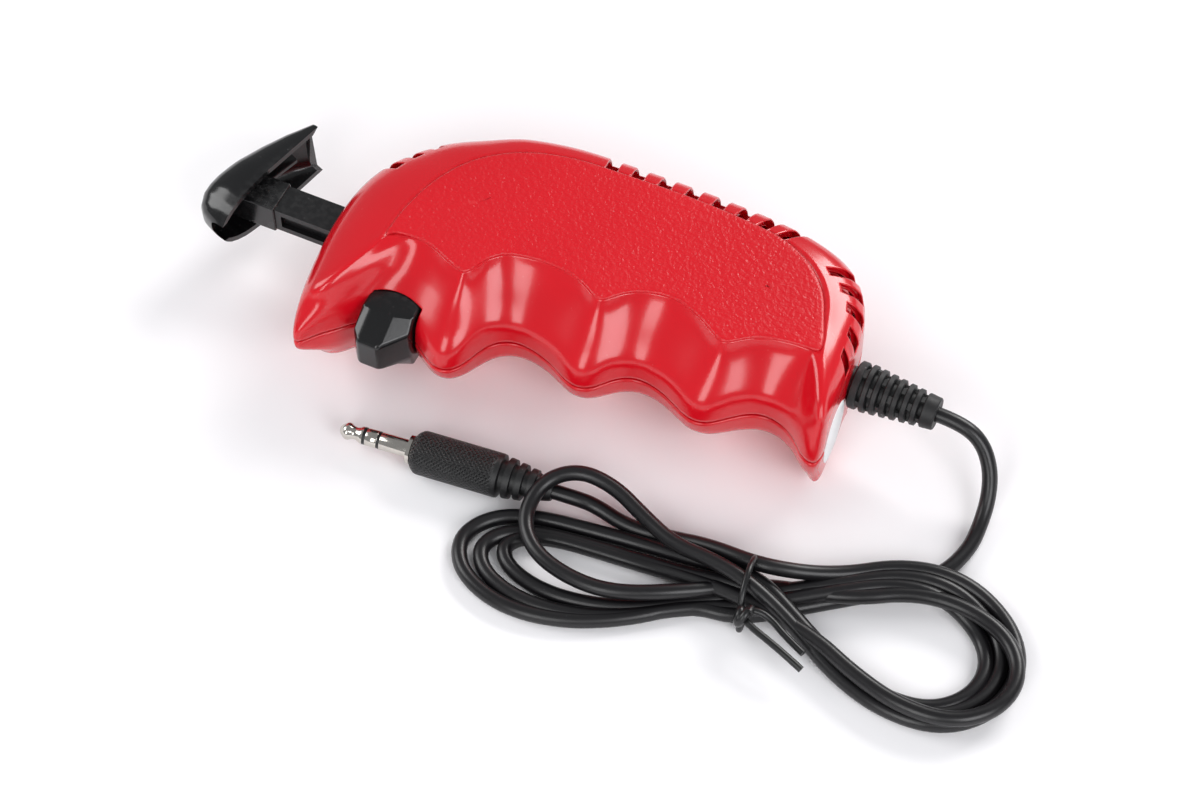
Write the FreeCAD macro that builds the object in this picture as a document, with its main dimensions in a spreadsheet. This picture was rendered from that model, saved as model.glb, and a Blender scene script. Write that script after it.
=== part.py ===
import FreeCAD, Part
import Sketcher
import math
import os

# Hand controller for a slot-car track: two moulded shell halves with finger
# grooves, a sprung thumb plunger with a wiper on a wire-wound resistor, a
# sprung push button in the first groove, and a cord that ends in a moulded
# 3.5 mm three-pole plug.
#
# X runs along the plunger and the spine, towards the cord.  Y runs from the
# finger grooves to the spine.  Z is up: the part lies on the panel of its
# lower shell.  The shells part at half the thickness.

# --------------------------------------------------------------------------
# Sizes, in millimetres and degrees
# --------------------------------------------------------------------------

SIZES = {
    # shells
    "grip_length": 105.6,
    "grip_width": 59.1,
    "grip_thickness": 30.0,
    "wall": 2.4,
    # running gap of parts that slide in the shells
    "slide_gap": 0.15,
    # screws and their bosses
    "screw_radius": 1.4,
    "screw_bite": 0.15,
    "screw_hole": 1.65,
    "screw_head_radius": 2.5,
    "screw_head_height": 1.6,
    "boss_wall": 1.3,
    "screw_depth": 6.5,
    "seat_height": 9.0,
    # plunger
    "travel": 11.0,
    "rod_axis": 28.2,
    "rod_width": 6.6,
    "rod_height": 5.8,
    "rod_start": -19.4,
    "rod_end": 44.0,
    "rod_slot_depth": 1.1,
    "rod_slot_height": 3.2,
    "guide_end": 9.0,
    "guide_wall": 2.2,
    "stop_step": 2.0,
    "stop_length": 3.0,
    "spigot_radius": 1.8,
    "spigot_length": 6.0,
    # springs
    "spring_seat": 66.0,
    "spring_radius": 2.9,
    "spring_wire": 0.7,
    "spring_turns": 8.0,
    "button_spring_radius": 1.9,
    "button_spring_wire": 0.45,
    "button_spring_turns": 3.0,
    # thumb cap
    "cap_width": 13.8,
    "cap_wall": 1.5,
    "stem_width": 7.4,
    "stem_height": 6.8,
    "stem_length": 3.4,
    # push button
    "button_left": 10.2,
    "button_length": 10.4,
    "button_height": 13.6,
    "button_nose": 3.2,
    "button_back": 18.2,
    "button_lip": 1.2,
    "button_gap": 0.25,
    # resistor
    "former_left": 44.0,
    "former_length": 28.0,
    "former_front": 41.6,
    "former_width": 6.0,
    "winding_length": 21.0,
    "winding_build": 1.1,
    "wiper_gap": 0.2,
    # strain relief
    "boot_axis": 36.4,
    "boot_neck_radius": 3.4,
    "boot_base_radius": 4.6,
    "boot_tip_radius": 3.2,
    "boot_length": 17.2,
    "boot_ribs": 7.0,
    # cord and plug
    "cord_radius": 1.5,
    "hank_height": 6.6,
    "tie_thickness": 0.8,
    "tie_width": 3.0,
    "plug_radius": 1.75,
    "plug_length": 15.0,
    "barrel_radius": 4.3,
    "barrel_length": 17.8,
    "barrel_tail": 10.5,
    # origin of the part, worked out once the grip is built
    "shift_x": 0.0,
    "shift_y": 0.0,
}

# The grip's outline in plan, for a grip 105.6 by 59.1: each row gives the
# point at the parting plane, the matching point of the panel's edge, and how
# the wall rises between them: F a finger groove, R a round spine, S a
# sloping end.
STATIONS = [
    (0.0, 0.0, 10.0, 20.9, "FS"),
    (2.6, 2.7, 10.9, 21.7, "F"),
    (5.4, 5.6, 12.6, 22.3, "F"),
    (8.2, 8.5, 14.4, 22.5, "F"),
    (11.5, 10.8, 16.4, 22.5, "F"),
    (15.0, 11.8, 18.6, 22.1, "F"),
    (18.3, 11.3, 20.8, 21.3, "F"),
    (21.2, 9.4, 23.2, 20.2, "F"),
    (24.3, 7.3, 25.6, 19.4, "F"),
    (27.3, 5.9, 27.6, 19.3, "F"),
    (29.5, 6.4, 28.6, 20.9, "F"),
    (31.2, 8.2, 29.6, 23.2, "F"),
    (32.4, 11.0, 31.0, 25.0, "F"),
    (33.9, 14.5, 33.0, 26.4, "F"),
    (36.1, 16.7, 35.8, 27.2, "F"),
    (39.3, 17.6, 39.3, 27.6, "F"),
    (42.9, 17.1, 42.9, 27.5, "F"),
    (46.7, 15.8, 46.4, 26.9, "F"),
    (50.2, 13.9, 49.8, 25.4, "F"),
    (53.2, 13.1, 53.0, 24.0, "F"),
    (55.4, 13.8, 54.8, 25.3, "F"),
    (57.4, 15.8, 56.6, 27.2, "F"),
    (59.4, 18.0, 58.8, 28.7, "F"),
    (61.9, 19.4, 61.6, 29.7, "F"),
    (64.8, 19.6, 64.8, 30.1, "F"),
    (67.9, 18.9, 68.2, 29.5, "F"),
    (71.0, 17.5, 71.8, 28.0, "F"),
    (73.7, 16.1, 74.8, 26.2, "F"),
    (76.2, 15.4, 77.4, 24.9, "F"),
    (78.6, 15.9, 79.2, 25.5, "F"),
    (80.9, 17.6, 81.1, 27.0, "F"),
    (83.4, 19.8, 83.6, 28.5, "F"),
    (86.4, 21.7, 86.4, 29.4, "F"),
    (89.4, 22.0, 89.3, 29.9, "F"),
    (92.5, 21.1, 91.6, 30.1, "F"),
    (95.7, 18.8, 93.4, 30.2, "F"),
    (98.5, 16.3, 94.4, 30.3, "F"),
    (100.6, 15.9, 94.9, 30.8, "FR"),
    (101.3, 18.2, 94.9, 31.8, "R"),
    (101.0, 22.5, 94.5, 33.4, "R"),
    (100.6, 28.0, 93.8, 35.4, "R"),
    (100.1, 34.0, 92.7, 38.0, "R"),
    (99.6, 40.0, 91.5, 40.9, "R"),
    (98.5, 45.5, 89.9, 43.7, "R"),
    (96.0, 50.5, 87.6, 46.4, "R"),
    (91.8, 54.4, 84.6, 48.9, "R"),
    (86.0, 56.7, 80.6, 51.0, "R"),
    (79.0, 58.0, 76.0, 52.3, "R"),
    (71.0, 58.7, 70.0, 53.0, "R"),
    (62.0, 59.0, 62.0, 53.5, "R"),
    (53.0, 59.1, 53.2, 53.6, "R"),
    (44.0, 59.0, 44.6, 53.4, "R"),
    (35.5, 58.8, 37.0, 53.1, "R"),
    (28.0, 57.9, 30.8, 52.1, "R"),
    (21.0, 56.2, 25.6, 50.4, "R"),
    (14.0, 53.6, 21.2, 48.0, "RS"),
    (7.5, 50.2, 17.4, 44.8, "RS"),
    (2.0, 45.8, 14.6, 41.2, "S"),
    (-1.8, 40.3, 12.6, 37.3, "S"),
    (-3.8, 34.0, 11.3, 33.6, "S"),
    (-4.3, 27.0, 10.5, 30.1, "S"),
    (-4.0, 20.0, 10.0, 27.0, "S"),
    (-3.2, 13.5, 9.8, 24.6, "S"),
    (-2.2, 7.5, 9.7, 22.6, "S"),
    (-1.2, 2.4, 9.7, 21.4, "FS"),
]
REFERENCE_LENGTH = 105.6
REFERENCE_WIDTH = 59.1

# Share of the way from outline to panel edge, by share of the rise.
LEVELS = [0.0, 0.29, 0.42, 0.55, 0.70, 0.85, 0.94, 1.0]
WALLS = {
    "F": [0.0, 0.01, 0.16, 0.40, 0.66, 0.87, 0.95, 1.0],
    "R": [0.0, 0.0, 0.0, 0.01, 0.06, 0.25, 0.52, 1.0],
    "S": [0.0, 0.0, 0.02, 0.07, 0.20, 0.48, 0.74, 1.0],
}

# Boss positions in plan, and the share of the half thickness they fill.
BOSSES = [
    (19.5, 41.0, 0.88),
    (29.0, 14.6, 0.44),
    (54.2, 20.6, 0.42),
    (95.0, 24.6, 0.46),
    (82.0, 44.6, 0.88),
]

# Vents: a row along the spine, then single slots round the two ends as
# (x, y, direction of the slot in degrees).
SPINE_VENTS = 8
SPINE_VENT_FIRST = 41.0
SPINE_VENT_PITCH = 5.8
END_VENTS = [
    (91.0, 52.6, 55.0),
    (94.6, 48.7, 35.0),
    (96.7, 44.2, 18.0),
    (97.9, 39.6, 8.0),
    (98.6, 32.8, 5.0),
]
FRONT_VENTS = [
    (5.2, 46.2, 138.0),
    (10.4, 49.4, 126.0),
    (16.0, 52.2, 116.0),
]
VENT_WIDTH = 3.0

# Cord route, in plan coordinates of the grip, and the hank's outline.
LEAD_ROUTE = [
    (117.3, 36.4, 15.0),
    (122.0, 36.4, 15.0),
    (126.7, 35.7, 12.8),
    (130.2, 33.4, 8.9),
    (132.1, 29.8, 4.9),
    (133.3, 25.2, 2.2),
    (133.8, 19.8, 1.5),
    (133.2, 14.4, 1.5),
    (131.4, 9.2, 1.5),
]
HANK_OUTLINE = [
    (44.0, -19.5),
    (47.5, -12.8),
    (54.0, -9.6),
    (62.0, -5.2),
    (70.0, -2.0),
    (84.0, -2.2),
    (95.0, -3.6),
    (100.0, -3.8),
    (110.0, 3.6),
    (122.0, 9.4),
    (134.0, 10.6),
    (144.0, 8.6),
    (149.6, 2.2),
    (149.8, -7.0),
    (144.0, -16.4),
    (134.0, -20.6),
    (121.0, -18.6),
    (110.0, -13.4),
    (100.6, -11.4),
    (92.0, -16.6),
    (80.0, -25.4),
    (68.0, -30.2),
    (55.0, -29.6),
    (46.4, -25.8),
]
HANK_HOLES = [
    [(57.0, -19.5), (61.5, -13.6), (72.0, -11.2), (81.5, -12.6), (76.0, -18.4), (66.0, -22.6), (59.0, -22.8)],
    [(117.0, -5.4), (124.0, 0.8), (134.0, 2.6), (141.4, -0.6), (141.0, -7.8), (134.0, -12.0), (124.0, -10.4)],
]
TIE_AT = (98.4, -7.6)
PLUG_TIP = (13.2, -7.6)
PLUG_TURN = 5.6

doc = FreeCAD.newDocument("slot_car_controller")
sheet = doc.addObject("Spreadsheet::Sheet", "Sizes")


def fill_sheet():
    """One row per size: its name in column A, its value in column B."""
    for row, (name, value) in enumerate(SIZES.items(), start=1):
        sheet.set(f"A{row}", name)
        sheet.set(f"B{row}", repr(value))
        sheet.setAlias(f"B{row}", name)
    doc.recompute()


fill_sheet()

KX = SIZES["grip_length"] / REFERENCE_LENGTH
KY = SIZES["grip_width"] / REFERENCE_WIDTH
HALF = SIZES["grip_thickness"] / 2


# --------------------------------------------------------------------------
# Helpers
# --------------------------------------------------------------------------


def along(x):
    """Expression for a place along the grip that moves with its length."""
    return f"{x} / {REFERENCE_LENGTH} * Sizes.grip_length"


def across(y):
    """Expression for a place across the grip that moves with its width."""
    return f"{y} / {REFERENCE_WIDTH} * Sizes.grip_width"


MID = "Sizes.grip_thickness / 2"
SUBPARTS = []


def new_body(label, x="0", y="0", z="0", rotation=None, subpart=True):
    """A body whose placement follows the part's origin."""
    body = doc.addObject("PartDesign::Body", "Body_" + label)
    body.Label = label
    body.AllowCompound = True
    if rotation:
        body.Placement = FreeCAD.Placement(FreeCAD.Vector(), rotation)
    body.setExpression("Placement.Base.x", f"Sizes.shift_x + {x}")
    body.setExpression("Placement.Base.y", f"Sizes.shift_y + {y}")
    body.setExpression("Placement.Base.z", z)
    if subpart:
        SUBPARTS.append(body)
    return body


def new_sketch(body, name, plane="XY_Plane", offset="0"):
    """A sketch on one of the body's own origin planes."""
    sketch = body.newObject("Sketcher::SketchObject", f"{body.Name}_{name}")
    for feature in body.Origin.OriginFeatures:
        if feature.Role == plane:
            sketch.AttachmentSupport = [(feature, "")]
    sketch.MapMode = "FlatFace"
    sketch.setExpression("AttachmentOffset.Base.z", offset)
    return sketch


def add_polygon(sketch, corners):
    """A closed polygon; each corner is a pair of expressions."""
    count = len(corners)
    first = sketch.GeometryCount
    for n in range(count):
        here = 2 * math.pi * n / count
        there = 2 * math.pi * (n + 1) / count
        sketch.addGeometry(
            Part.LineSegment(
                FreeCAD.Vector(math.cos(here), math.sin(here), 0),
                FreeCAD.Vector(math.cos(there), math.sin(there), 0),
            )
        )
    for n in range(count):
        after = (n + 1) % count
        sketch.addConstraint(Sketcher.Constraint("Coincident", first + n, 2, first + after, 1))
    for n, (x, y) in enumerate(corners):
        for kind, value in (("DistanceX", x), ("DistanceY", y)):
            index = sketch.addConstraint(Sketcher.Constraint(kind, -1, 1, first + n, 1, 1.0))
            sketch.setExpression(f"Constraints[{index}]", str(value))


def rectangle(x0, x1, y0, y1):
    return [(x0, y0), (x1, y0), (x1, y1), (x0, y1)]


def add_circle(sketch, x, y, radius):
    index = sketch.addGeometry(Part.Circle(FreeCAD.Vector(), FreeCAD.Vector(0, 0, 1), 1.0))
    for kind, value in (("DistanceX", x), ("DistanceY", y)):
        number = sketch.addConstraint(Sketcher.Constraint(kind, -1, 1, index, 3, 1.0))
        sketch.setExpression(f"Constraints[{number}]", str(value))
    number = sketch.addConstraint(Sketcher.Constraint("Radius", index, 1.0))
    sketch.setExpression(f"Constraints[{number}]", str(radius))


def add_outline(sketch, points):
    """A closed outline of short straight edges through the points."""
    for n, (x, y) in enumerate(points):
        after = points[(n + 1) % len(points)]
        sketch.addGeometry(Part.LineSegment(FreeCAD.Vector(x, y, 0), FreeCAD.Vector(*after, 0)))


def add_curve(sketch, points):
    """A closed smooth curve through the points."""
    curve = Part.BSplineCurve()
    curve.interpolate([FreeCAD.Vector(x, y, 0) for x, y in points], PeriodicFlag=True)
    sketch.addGeometry(curve)


def extrude(body, kind, sketch, length, reversed_=False, midplane=False):
    """A Pad or a Pocket of the sketch, with its length as an expression."""
    feature = body.newObject("PartDesign::" + kind, f"{sketch.Name}_{kind}")
    feature.Profile = sketch
    feature.setExpression("Length", str(length))
    feature.Reversed = reversed_
    if midplane:
        feature.Midplane = True
    body.Tip = feature
    doc.recompute()
    return feature


def box(body, name, kind, x0, x1, y0, y1, z0, length):
    """A straight-sided block or cut, from z0 up by length."""
    sketch = new_sketch(body, name, "XY_Plane", z0)
    add_polygon(sketch, rectangle(x0, x1, y0, y1))
    return extrude(body, kind, sketch, length, reversed_=kind == "Pocket")


def revolve(body, name, corners):
    """A turned solid: the polygon lies in XY and turns about X."""
    sketch = new_sketch(body, name)
    add_polygon(sketch, corners)
    feature = body.newObject("PartDesign::Revolution", f"{body.Name}_{name}_turned")
    feature.Profile = sketch
    feature.ReferenceAxis = (sketch, ["H_Axis"])
    feature.Angle = 360.0
    body.Tip = feature
    doc.recompute()
    return feature


def loft(body, name, kind, sketches):
    feature = body.newObject("PartDesign::" + kind, f"{body.Name}_{name}")
    feature.Profile = sketches[0]
    feature.Sections = sketches[1:]
    feature.Ruled = True
    body.Tip = feature
    doc.recompute()
    return feature


# --------------------------------------------------------------------------
# Shell halves
# --------------------------------------------------------------------------


def wall_share(kinds, level):
    """How far in the wall is at a share of its rise, for a station's kind."""
    total = 0.0
    for kind in kinds:
        table = WALLS[kind]
        for n in range(len(LEVELS) - 1):
            low, high = LEVELS[n], LEVELS[n + 1]
            if low <= level <= high:
                total += table[n] + (table[n + 1] - table[n]) * (level - low) / (high - low)
                break
    return total / len(kinds)


def outline(level, inset=0.0):
    """The grip's outline at a share of its rise, moved in by inset."""
    points = []
    for x0, y0, x1, y1, kinds in STATIONS:
        start = (x0 * KX, y0 * KY)
        end = (x1 * KX, y1 * KY)
        reach = math.dist(start, end)
        share = wall_share(kinds, level) + inset / reach
        points.append((start[0] + (end[0] - start[0]) * share, start[1] + (end[1] - start[1]) * share))
    return points


def level_height(level, side):
    """Expression for the height of a level in the upper or lower half."""
    return f"{MID} + {side} * {level} * {MID}"


def slot_corners(x, y, degrees, back, front):
    """A vent's rectangle, from back behind its point to front beyond it."""
    angle = math.radians(degrees)
    ux, uy = math.cos(angle), math.sin(angle)
    corners = []
    for run, side in ((-back, -0.5), (front, -0.5), (front, 0.5), (-back, 0.5)):
        dx = ux * run - uy * side * VENT_WIDTH
        dy = uy * run + ux * side * VENT_WIDTH
        corners.append((f"{along(x)} + {dx}", f"{across(y)} + {dy}"))
    return corners


def loft_body(label, side, levels, inset):
    """A closed half of the grip's shape, lofted through its outlines."""
    body = new_body(label, subpart=False)
    sketches = []
    for n, level in enumerate(levels):
        sketch = new_sketch(body, f"level{n}", "XY_Plane", level_height(level, side))
        add_outline(sketch, outline(level, inset))
        sketches.append(sketch)
    loft(body, "loft", "AdditiveLoft", sketches)
    return body


def from_parting(body, kind, name, side, polygons, depth):
    """A Pad or Pocket of polygons, from the parting plane into one half."""
    sketch = new_sketch(body, name, "XY_Plane", MID)
    for corners in polygons:
        add_polygon(sketch, corners)
    turned = side < 0 if kind == "Pad" else side > 0
    return extrude(body, kind, sketch, depth, reversed_=turned)


def round_from_parting(body, kind, name, side, places, radius, depth):
    """Round posts or holes, from the parting plane into one half."""
    sketch = new_sketch(body, name, "XY_Plane", MID)
    for x, y, _ in places:
        add_circle(sketch, along(x), across(y), radius)
    turned = side < 0 if kind == "Pad" else side > 0
    return extrude(body, kind, sketch, depth, reversed_=turned)


def rib_plans():
    """Plans of the walls that stand inside each half, up to its roof."""
    guide = "Sizes.rod_width / 2 + Sizes.guide_wall"
    former_end = "Sizes.former_left + Sizes.former_length"
    back = "Sizes.former_front + Sizes.former_width"
    button_seat = "Sizes.rod_axis - Sizes.rod_width / 2"
    return [
        rectangle("-6", "Sizes.guide_end", f"Sizes.rod_axis - ({guide})", f"Sizes.rod_axis + {guide}"),
        rectangle("Sizes.spring_seat", "Sizes.spring_seat + 2", "Sizes.rod_axis - 4", "Sizes.rod_axis + 4"),
        rectangle(
            "Sizes.guide_end + 0.5",
            "Sizes.button_left + Sizes.button_length + 0.5",
            f"{button_seat} - 3.4",
            f"{button_seat} - 2.2",
        ),
        rectangle("Sizes.former_left - 1.6", "Sizes.former_left", "Sizes.former_front + 1", f"{back} - 1"),
        rectangle(former_end, f"{former_end} + 1.6", "Sizes.former_front + 1", f"{back} - 1"),
    ]


def hollow_body(label, side):
    """The air inside one half: its loft, less the ribs and screw bosses."""
    roof = 1.0 - SIZES["wall"] / HALF
    levels = [level for level in LEVELS if level < roof - 0.06] + [roof]
    body = loft_body(label, side, levels, SIZES["wall"])
    from_parting(body, "Pocket", "ribs", side, rib_plans(), MID)
    radius = "Sizes.screw_radius + Sizes.boss_wall"
    if side < 0:
        radius = "Sizes.screw_head_radius + 0.2 + Sizes.boss_wall"
    round_from_parting(body, "Pocket", "bosses", side, BOSSES, radius, MID)
    return body


def cutter_body(label, side):
    """Everything that is cut through the skin of one half."""
    body = new_body(label, subpart=False)
    window = rectangle(
        "Sizes.button_left - Sizes.button_gap",
        "Sizes.button_left + Sizes.button_length + Sizes.button_gap",
        "-3",
        across(18.2),
    )
    from_parting(body, "Pad", "window", side, [window], "Sizes.button_height / 2 + Sizes.button_gap")
    way = "Sizes.rod_width / 2 + Sizes.slide_gap"
    rod = rectangle("-9", "Sizes.guide_end + 1", f"Sizes.rod_axis - ({way})", f"Sizes.rod_axis + {way}")
    from_parting(body, "Pad", "rod_way", side, [rod], "Sizes.rod_height / 2 + Sizes.slide_gap")
    flat = rectangle(along(100.35), along(104.0), across(17.6), across(31.0))
    from_parting(body, "Pad", "end_flat", side, [flat], f"0.72 * {MID}")
    notch = new_sketch(body, "boot_way", "YZ_Plane", along(92.0))
    add_circle(notch, "Sizes.boot_axis", MID, "Sizes.boot_neck_radius")
    extrude(body, "Pad", notch, along(14.0))
    # vents over the spine's round edge and round both ends
    slots = []
    for n in range(SPINE_VENTS):
        x = SPINE_VENT_FIRST + n * SPINE_VENT_PITCH
        slots.append(slot_corners(x, 57.0 if x < 74 else 56.4, 90.0, 2.0, 6.0))
    for x, y, degrees in END_VENTS:
        slots.append(slot_corners(x, y, degrees, 2.2, 6.0))
    for x, y, degrees in FRONT_VENTS:
        slots.append(slot_corners(x, y, degrees, 1.5, 6.0))
    sketch = new_sketch(body, "vents", "XY_Plane", f"{MID} + {side} * 0.42 * {MID}")
    for corners in slots:
        add_polygon(sketch, corners)
    extrude(body, "Pad", sketch, MID, reversed_=side < 0)
    if side > 0:
        pilot = "Sizes.screw_radius - Sizes.screw_bite"
        round_from_parting(body, "Pad", "pilots", side, BOSSES, pilot, "Sizes.screw_depth - 0.6")
    else:
        round_from_parting(body, "Pad", "holes", side, BOSSES, "Sizes.screw_hole", MID)
        recess = new_sketch(body, "recesses", "XY_Plane", "-1")
        for x, y, _ in BOSSES:
            add_circle(recess, along(x), across(y), "Sizes.screw_head_radius + 0.2")
        extrude(body, "Pad", recess, "Sizes.seat_height + 1")
    return body


def cut(label, base, tool):
    feature = doc.addObject("Part::Cut", "Cut_" + label)
    feature.Label = label
    feature.Base = base
    feature.Tool = tool
    doc.recompute()
    return feature


def build_shells():
    """Each half is its skin, less the hollow, less the ways through."""
    for name, side in (("upper", 1), ("lower", -1)):
        skin = loft_body(name + "_skin", side, LEVELS, 0.0)
        blank = cut(name + "_blank", skin, hollow_body(name + "_hollow", side))
        SUBPARTS.append(cut(name + "_shell", blank, cutter_body(name + "_cuts", side)))


def build_screws():
    """Self-tapping screws that hold the halves together from below."""
    for n, (x, y, _) in enumerate(BOSSES, start=1):
        body = new_body(f"shell_screw_{n}")
        head = new_sketch(body, "head", "XY_Plane", "Sizes.seat_height")
        add_circle(head, along(x), across(y), "Sizes.screw_head_radius")
        extrude(body, "Pad", head, "Sizes.screw_head_height", reversed_=True)
        shank = new_sketch(body, "shank", "XY_Plane", "Sizes.seat_height")
        add_circle(shank, along(x), across(y), "Sizes.screw_radius")
        extrude(body, "Pad", shank, f"{MID} - Sizes.seat_height + Sizes.screw_depth - 1")
        box(
            body,
            "slot_a",
            "Pocket",
            f"{along(x)} - 1.5",
            f"{along(x)} + 1.5",
            f"{across(y)} - 0.3",
            f"{across(y)} + 0.3",
            "Sizes.seat_height - Sizes.screw_head_height - 0.5",
            "1.3",
        )
        box(
            body,
            "slot_b",
            "Pocket",
            f"{along(x)} - 0.3",
            f"{along(x)} + 0.3",
            f"{across(y)} - 1.5",
            f"{across(y)} + 1.5",
            "Sizes.seat_height - Sizes.screw_head_height - 0.5",
            "1.3",
        )


# --------------------------------------------------------------------------
# Plunger
# --------------------------------------------------------------------------


def build_rod():
    """The slotted rod, its stop collar and the spigot for its spring."""
    body = new_body("plunger_rod")
    low = f"{MID} - Sizes.rod_height / 2"
    box(
        body,
        "bar",
        "Pad",
        "Sizes.rod_start",
        "Sizes.rod_end",
        "Sizes.rod_axis - Sizes.rod_width / 2",
        "Sizes.rod_axis + Sizes.rod_width / 2",
        low,
        "Sizes.rod_height",
    )
    box(
        body,
        "collar",
        "Pad",
        "Sizes.guide_end + Sizes.slide_gap",
        "Sizes.guide_end + Sizes.slide_gap + Sizes.stop_length",
        "Sizes.rod_axis - Sizes.rod_width / 2 - Sizes.stop_step",
        "Sizes.rod_axis + Sizes.rod_width / 2 + Sizes.stop_step",
        low,
        "Sizes.rod_height",
    )
    slots = new_sketch(body, "slots", "XY_Plane", f"{MID} - Sizes.rod_slot_height / 2")
    for end in (-1, 1):
        face = f"Sizes.rod_axis + {end} * Sizes.rod_width / 2"
        floor = f"Sizes.rod_axis + {end} * (Sizes.rod_width / 2 - Sizes.rod_slot_depth)"
        for start, stop in (
            ("Sizes.rod_start + 3.2", "Sizes.guide_end - 0.6"),
            ("Sizes.guide_end + Sizes.slide_gap + Sizes.stop_length + 1", "Sizes.rod_end - 2"),
        ):
            add_polygon(slots, rectangle(start, stop, floor, f"{face} + {end}"))
    extrude(body, "Pocket", slots, "Sizes.rod_slot_height", reversed_=True)
    spigot = new_sketch(body, "spigot", "YZ_Plane", "Sizes.rod_end")
    add_circle(spigot, "Sizes.rod_axis", MID, "Sizes.spigot_radius")
    extrude(body, "Pad", spigot, "Sizes.spigot_length")


CAP_OUTER = [
    (-24.9, 17.7),
    (-28.2, 17.6),
    (-31.2, 19.6),
    (-32.5, 23.3),
    (-31.9, 27.6),
    (-30.0, 32.4),
    (-27.4, 37.0),
    (-24.4, 41.2),
    (-21.0, 44.9),
    (-18.2, 44.6),
]
CAP_NOSE = 5.2


def build_cap():
    """The thumb cap: a hollow saddle, deep at one end, on a stem block."""
    body = new_body("thumb_cap")
    outer = new_sketch(body, "outer", "XY_Plane", MID)
    add_polygon(outer, [(str(x), str(y)) for x, y in CAP_OUTER])
    extrude(body, "Pad", outer, "Sizes.cap_width", midplane=True)
    # the deep end is rounded seen along the rod
    nose = new_sketch(body, "nose", "YZ_Plane", "-40")
    low = CAP_OUTER[0][1] - 1.0
    for end in (-1, 1):
        edge = f"{MID} + {end} * Sizes.cap_width / 2"
        add_polygon(
            nose,
            [
                (str(low), f"{edge} + {end}"),
                (str(low), f"{edge} - {end} * {CAP_NOSE}"),
                (str(low + 1.6), f"{edge} - {end} * 2.6"),
                (str(low + 3.8), f"{edge} - {end} * 0.9"),
                (str(low + 7.4), f"{edge}"),
                (str(low + 7.4), f"{edge} + {end}"),
            ],
        )
    extrude(body, "Pocket", nose, "40", reversed_=True)
    # hollow, open towards the grip
    hollow = new_sketch(body, "hollow", "XY_Plane", MID)
    inner = [
        (-22.5, 20.0),
        (-27.6, 19.4),
        (-29.9, 20.7),
        (-30.9, 23.6),
        (-30.3, 27.3),
        (-28.5, 31.7),
        (-26.0, 36.1),
        (-23.2, 40.1),
        (-20.6, 43.1),
        (-15.0, 42.6),
    ]
    add_polygon(hollow, [(str(x), str(y)) for x, y in inner])
    pocket = body.newObject("PartDesign::Pocket", "cap_hollow")
    pocket.Profile = hollow
    pocket.Midplane = True
    pocket.setExpression("Length", "Sizes.cap_width - 2 * Sizes.cap_wall - 2.4")
    body.Tip = pocket
    doc.recompute()
    # stem block that takes the rod's end
    box(
        body,
        "stem",
        "Pad",
        "-30.4",
        "Sizes.rod_start + Sizes.stem_length - 1.4",
        "Sizes.rod_axis - Sizes.stem_width / 2",
        "Sizes.rod_axis + Sizes.stem_width / 2",
        f"{MID} - Sizes.stem_height / 2",
        "Sizes.stem_height",
    )
    box(
        body,
        "socket",
        "Pocket",
        "Sizes.rod_start",
        "Sizes.rod_start + 12",
        "Sizes.rod_axis - Sizes.rod_width / 2",
        "Sizes.rod_axis + Sizes.rod_width / 2",
        f"{MID} - Sizes.rod_height / 2",
        "Sizes.rod_height",
    )


def build_wiper():
    """The contact leaf on the rod that slides along the winding."""
    body = new_body("wiper_contact")
    leaf = new_sketch(body, "leaf", "XY_Plane", MID)
    root = "Sizes.rod_axis + Sizes.rod_width / 2 - Sizes.rod_slot_depth"
    touch = "Sizes.former_front - Sizes.winding_build - Sizes.wiper_gap"
    add_polygon(
        leaf,
        [
            ("Sizes.rod_end - 8", root),
            ("Sizes.rod_end - 4", root),
            ("Sizes.rod_end - 4", f"{root} + 4.6"),
            ("Sizes.former_left + 8", touch),
            ("Sizes.former_left + 5", touch),
            ("Sizes.rod_end - 8", f"{root} + 5.4"),
        ],
    )
    extrude(body, "Pad", leaf, "2.6", midplane=True)


# --------------------------------------------------------------------------
# Push button
# --------------------------------------------------------------------------


def build_button():
    """A faceted button with a lip that keeps it behind the shell."""
    body = new_body("push_button")
    left = "Sizes.button_left"
    right = "Sizes.button_left + Sizes.button_length"
    plan = new_sketch(body, "plan", "XY_Plane", MID)
    add_polygon(
        plan,
        [
            (left, "Sizes.button_back"),
            (left, "Sizes.button_nose + 2.4"),
            (f"{left} + 1.8", "Sizes.button_nose"),
            (f"{left} + 6.2", "Sizes.button_nose"),
            (right, "Sizes.button_nose + 5.4"),
            (right, "Sizes.button_back"),
        ],
    )
    extrude(body, "Pad", plan, "Sizes.button_height", midplane=True)
    facets = new_sketch(body, "facets", "YZ_Plane", "Sizes.button_left - 1")
    for end in (-1, 1):
        edge = f"{MID} + {end} * Sizes.button_height / 2"
        add_polygon(
            facets,
            [
                ("Sizes.button_nose - 1", f"{edge} - {end} * 3.2"),
                ("Sizes.button_nose + 6.6", f"{edge}"),
                ("Sizes.button_nose + 6.6", f"{edge} + {end}"),
                ("Sizes.button_nose - 1", f"{edge} + {end}"),
            ],
        )
    extrude(body, "Pocket", facets, "Sizes.button_length + 2", reversed_=True)
    # lip behind the wall, past both ends of the window
    box(
        body,
        "lip",
        "Pad",
        f"{left} - Sizes.button_lip",
        f"{right} + Sizes.button_lip",
        "Sizes.button_back - 1.4",
        "Sizes.button_back",
        f"{MID} - 4",
        "8",
    )


def build_button_parts():
    """The bridge contact on the button's back."""
    body = new_body("button_bridge")
    box(
        body,
        "strip",
        "Pad",
        "Sizes.button_left + 1.5",
        "Sizes.button_left + Sizes.button_length - 1.5",
        "Sizes.button_back",
        "Sizes.button_back + 0.3",
        f"{MID} - 5",
        "2",
    )


# --------------------------------------------------------------------------
# Springs
# --------------------------------------------------------------------------


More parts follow.
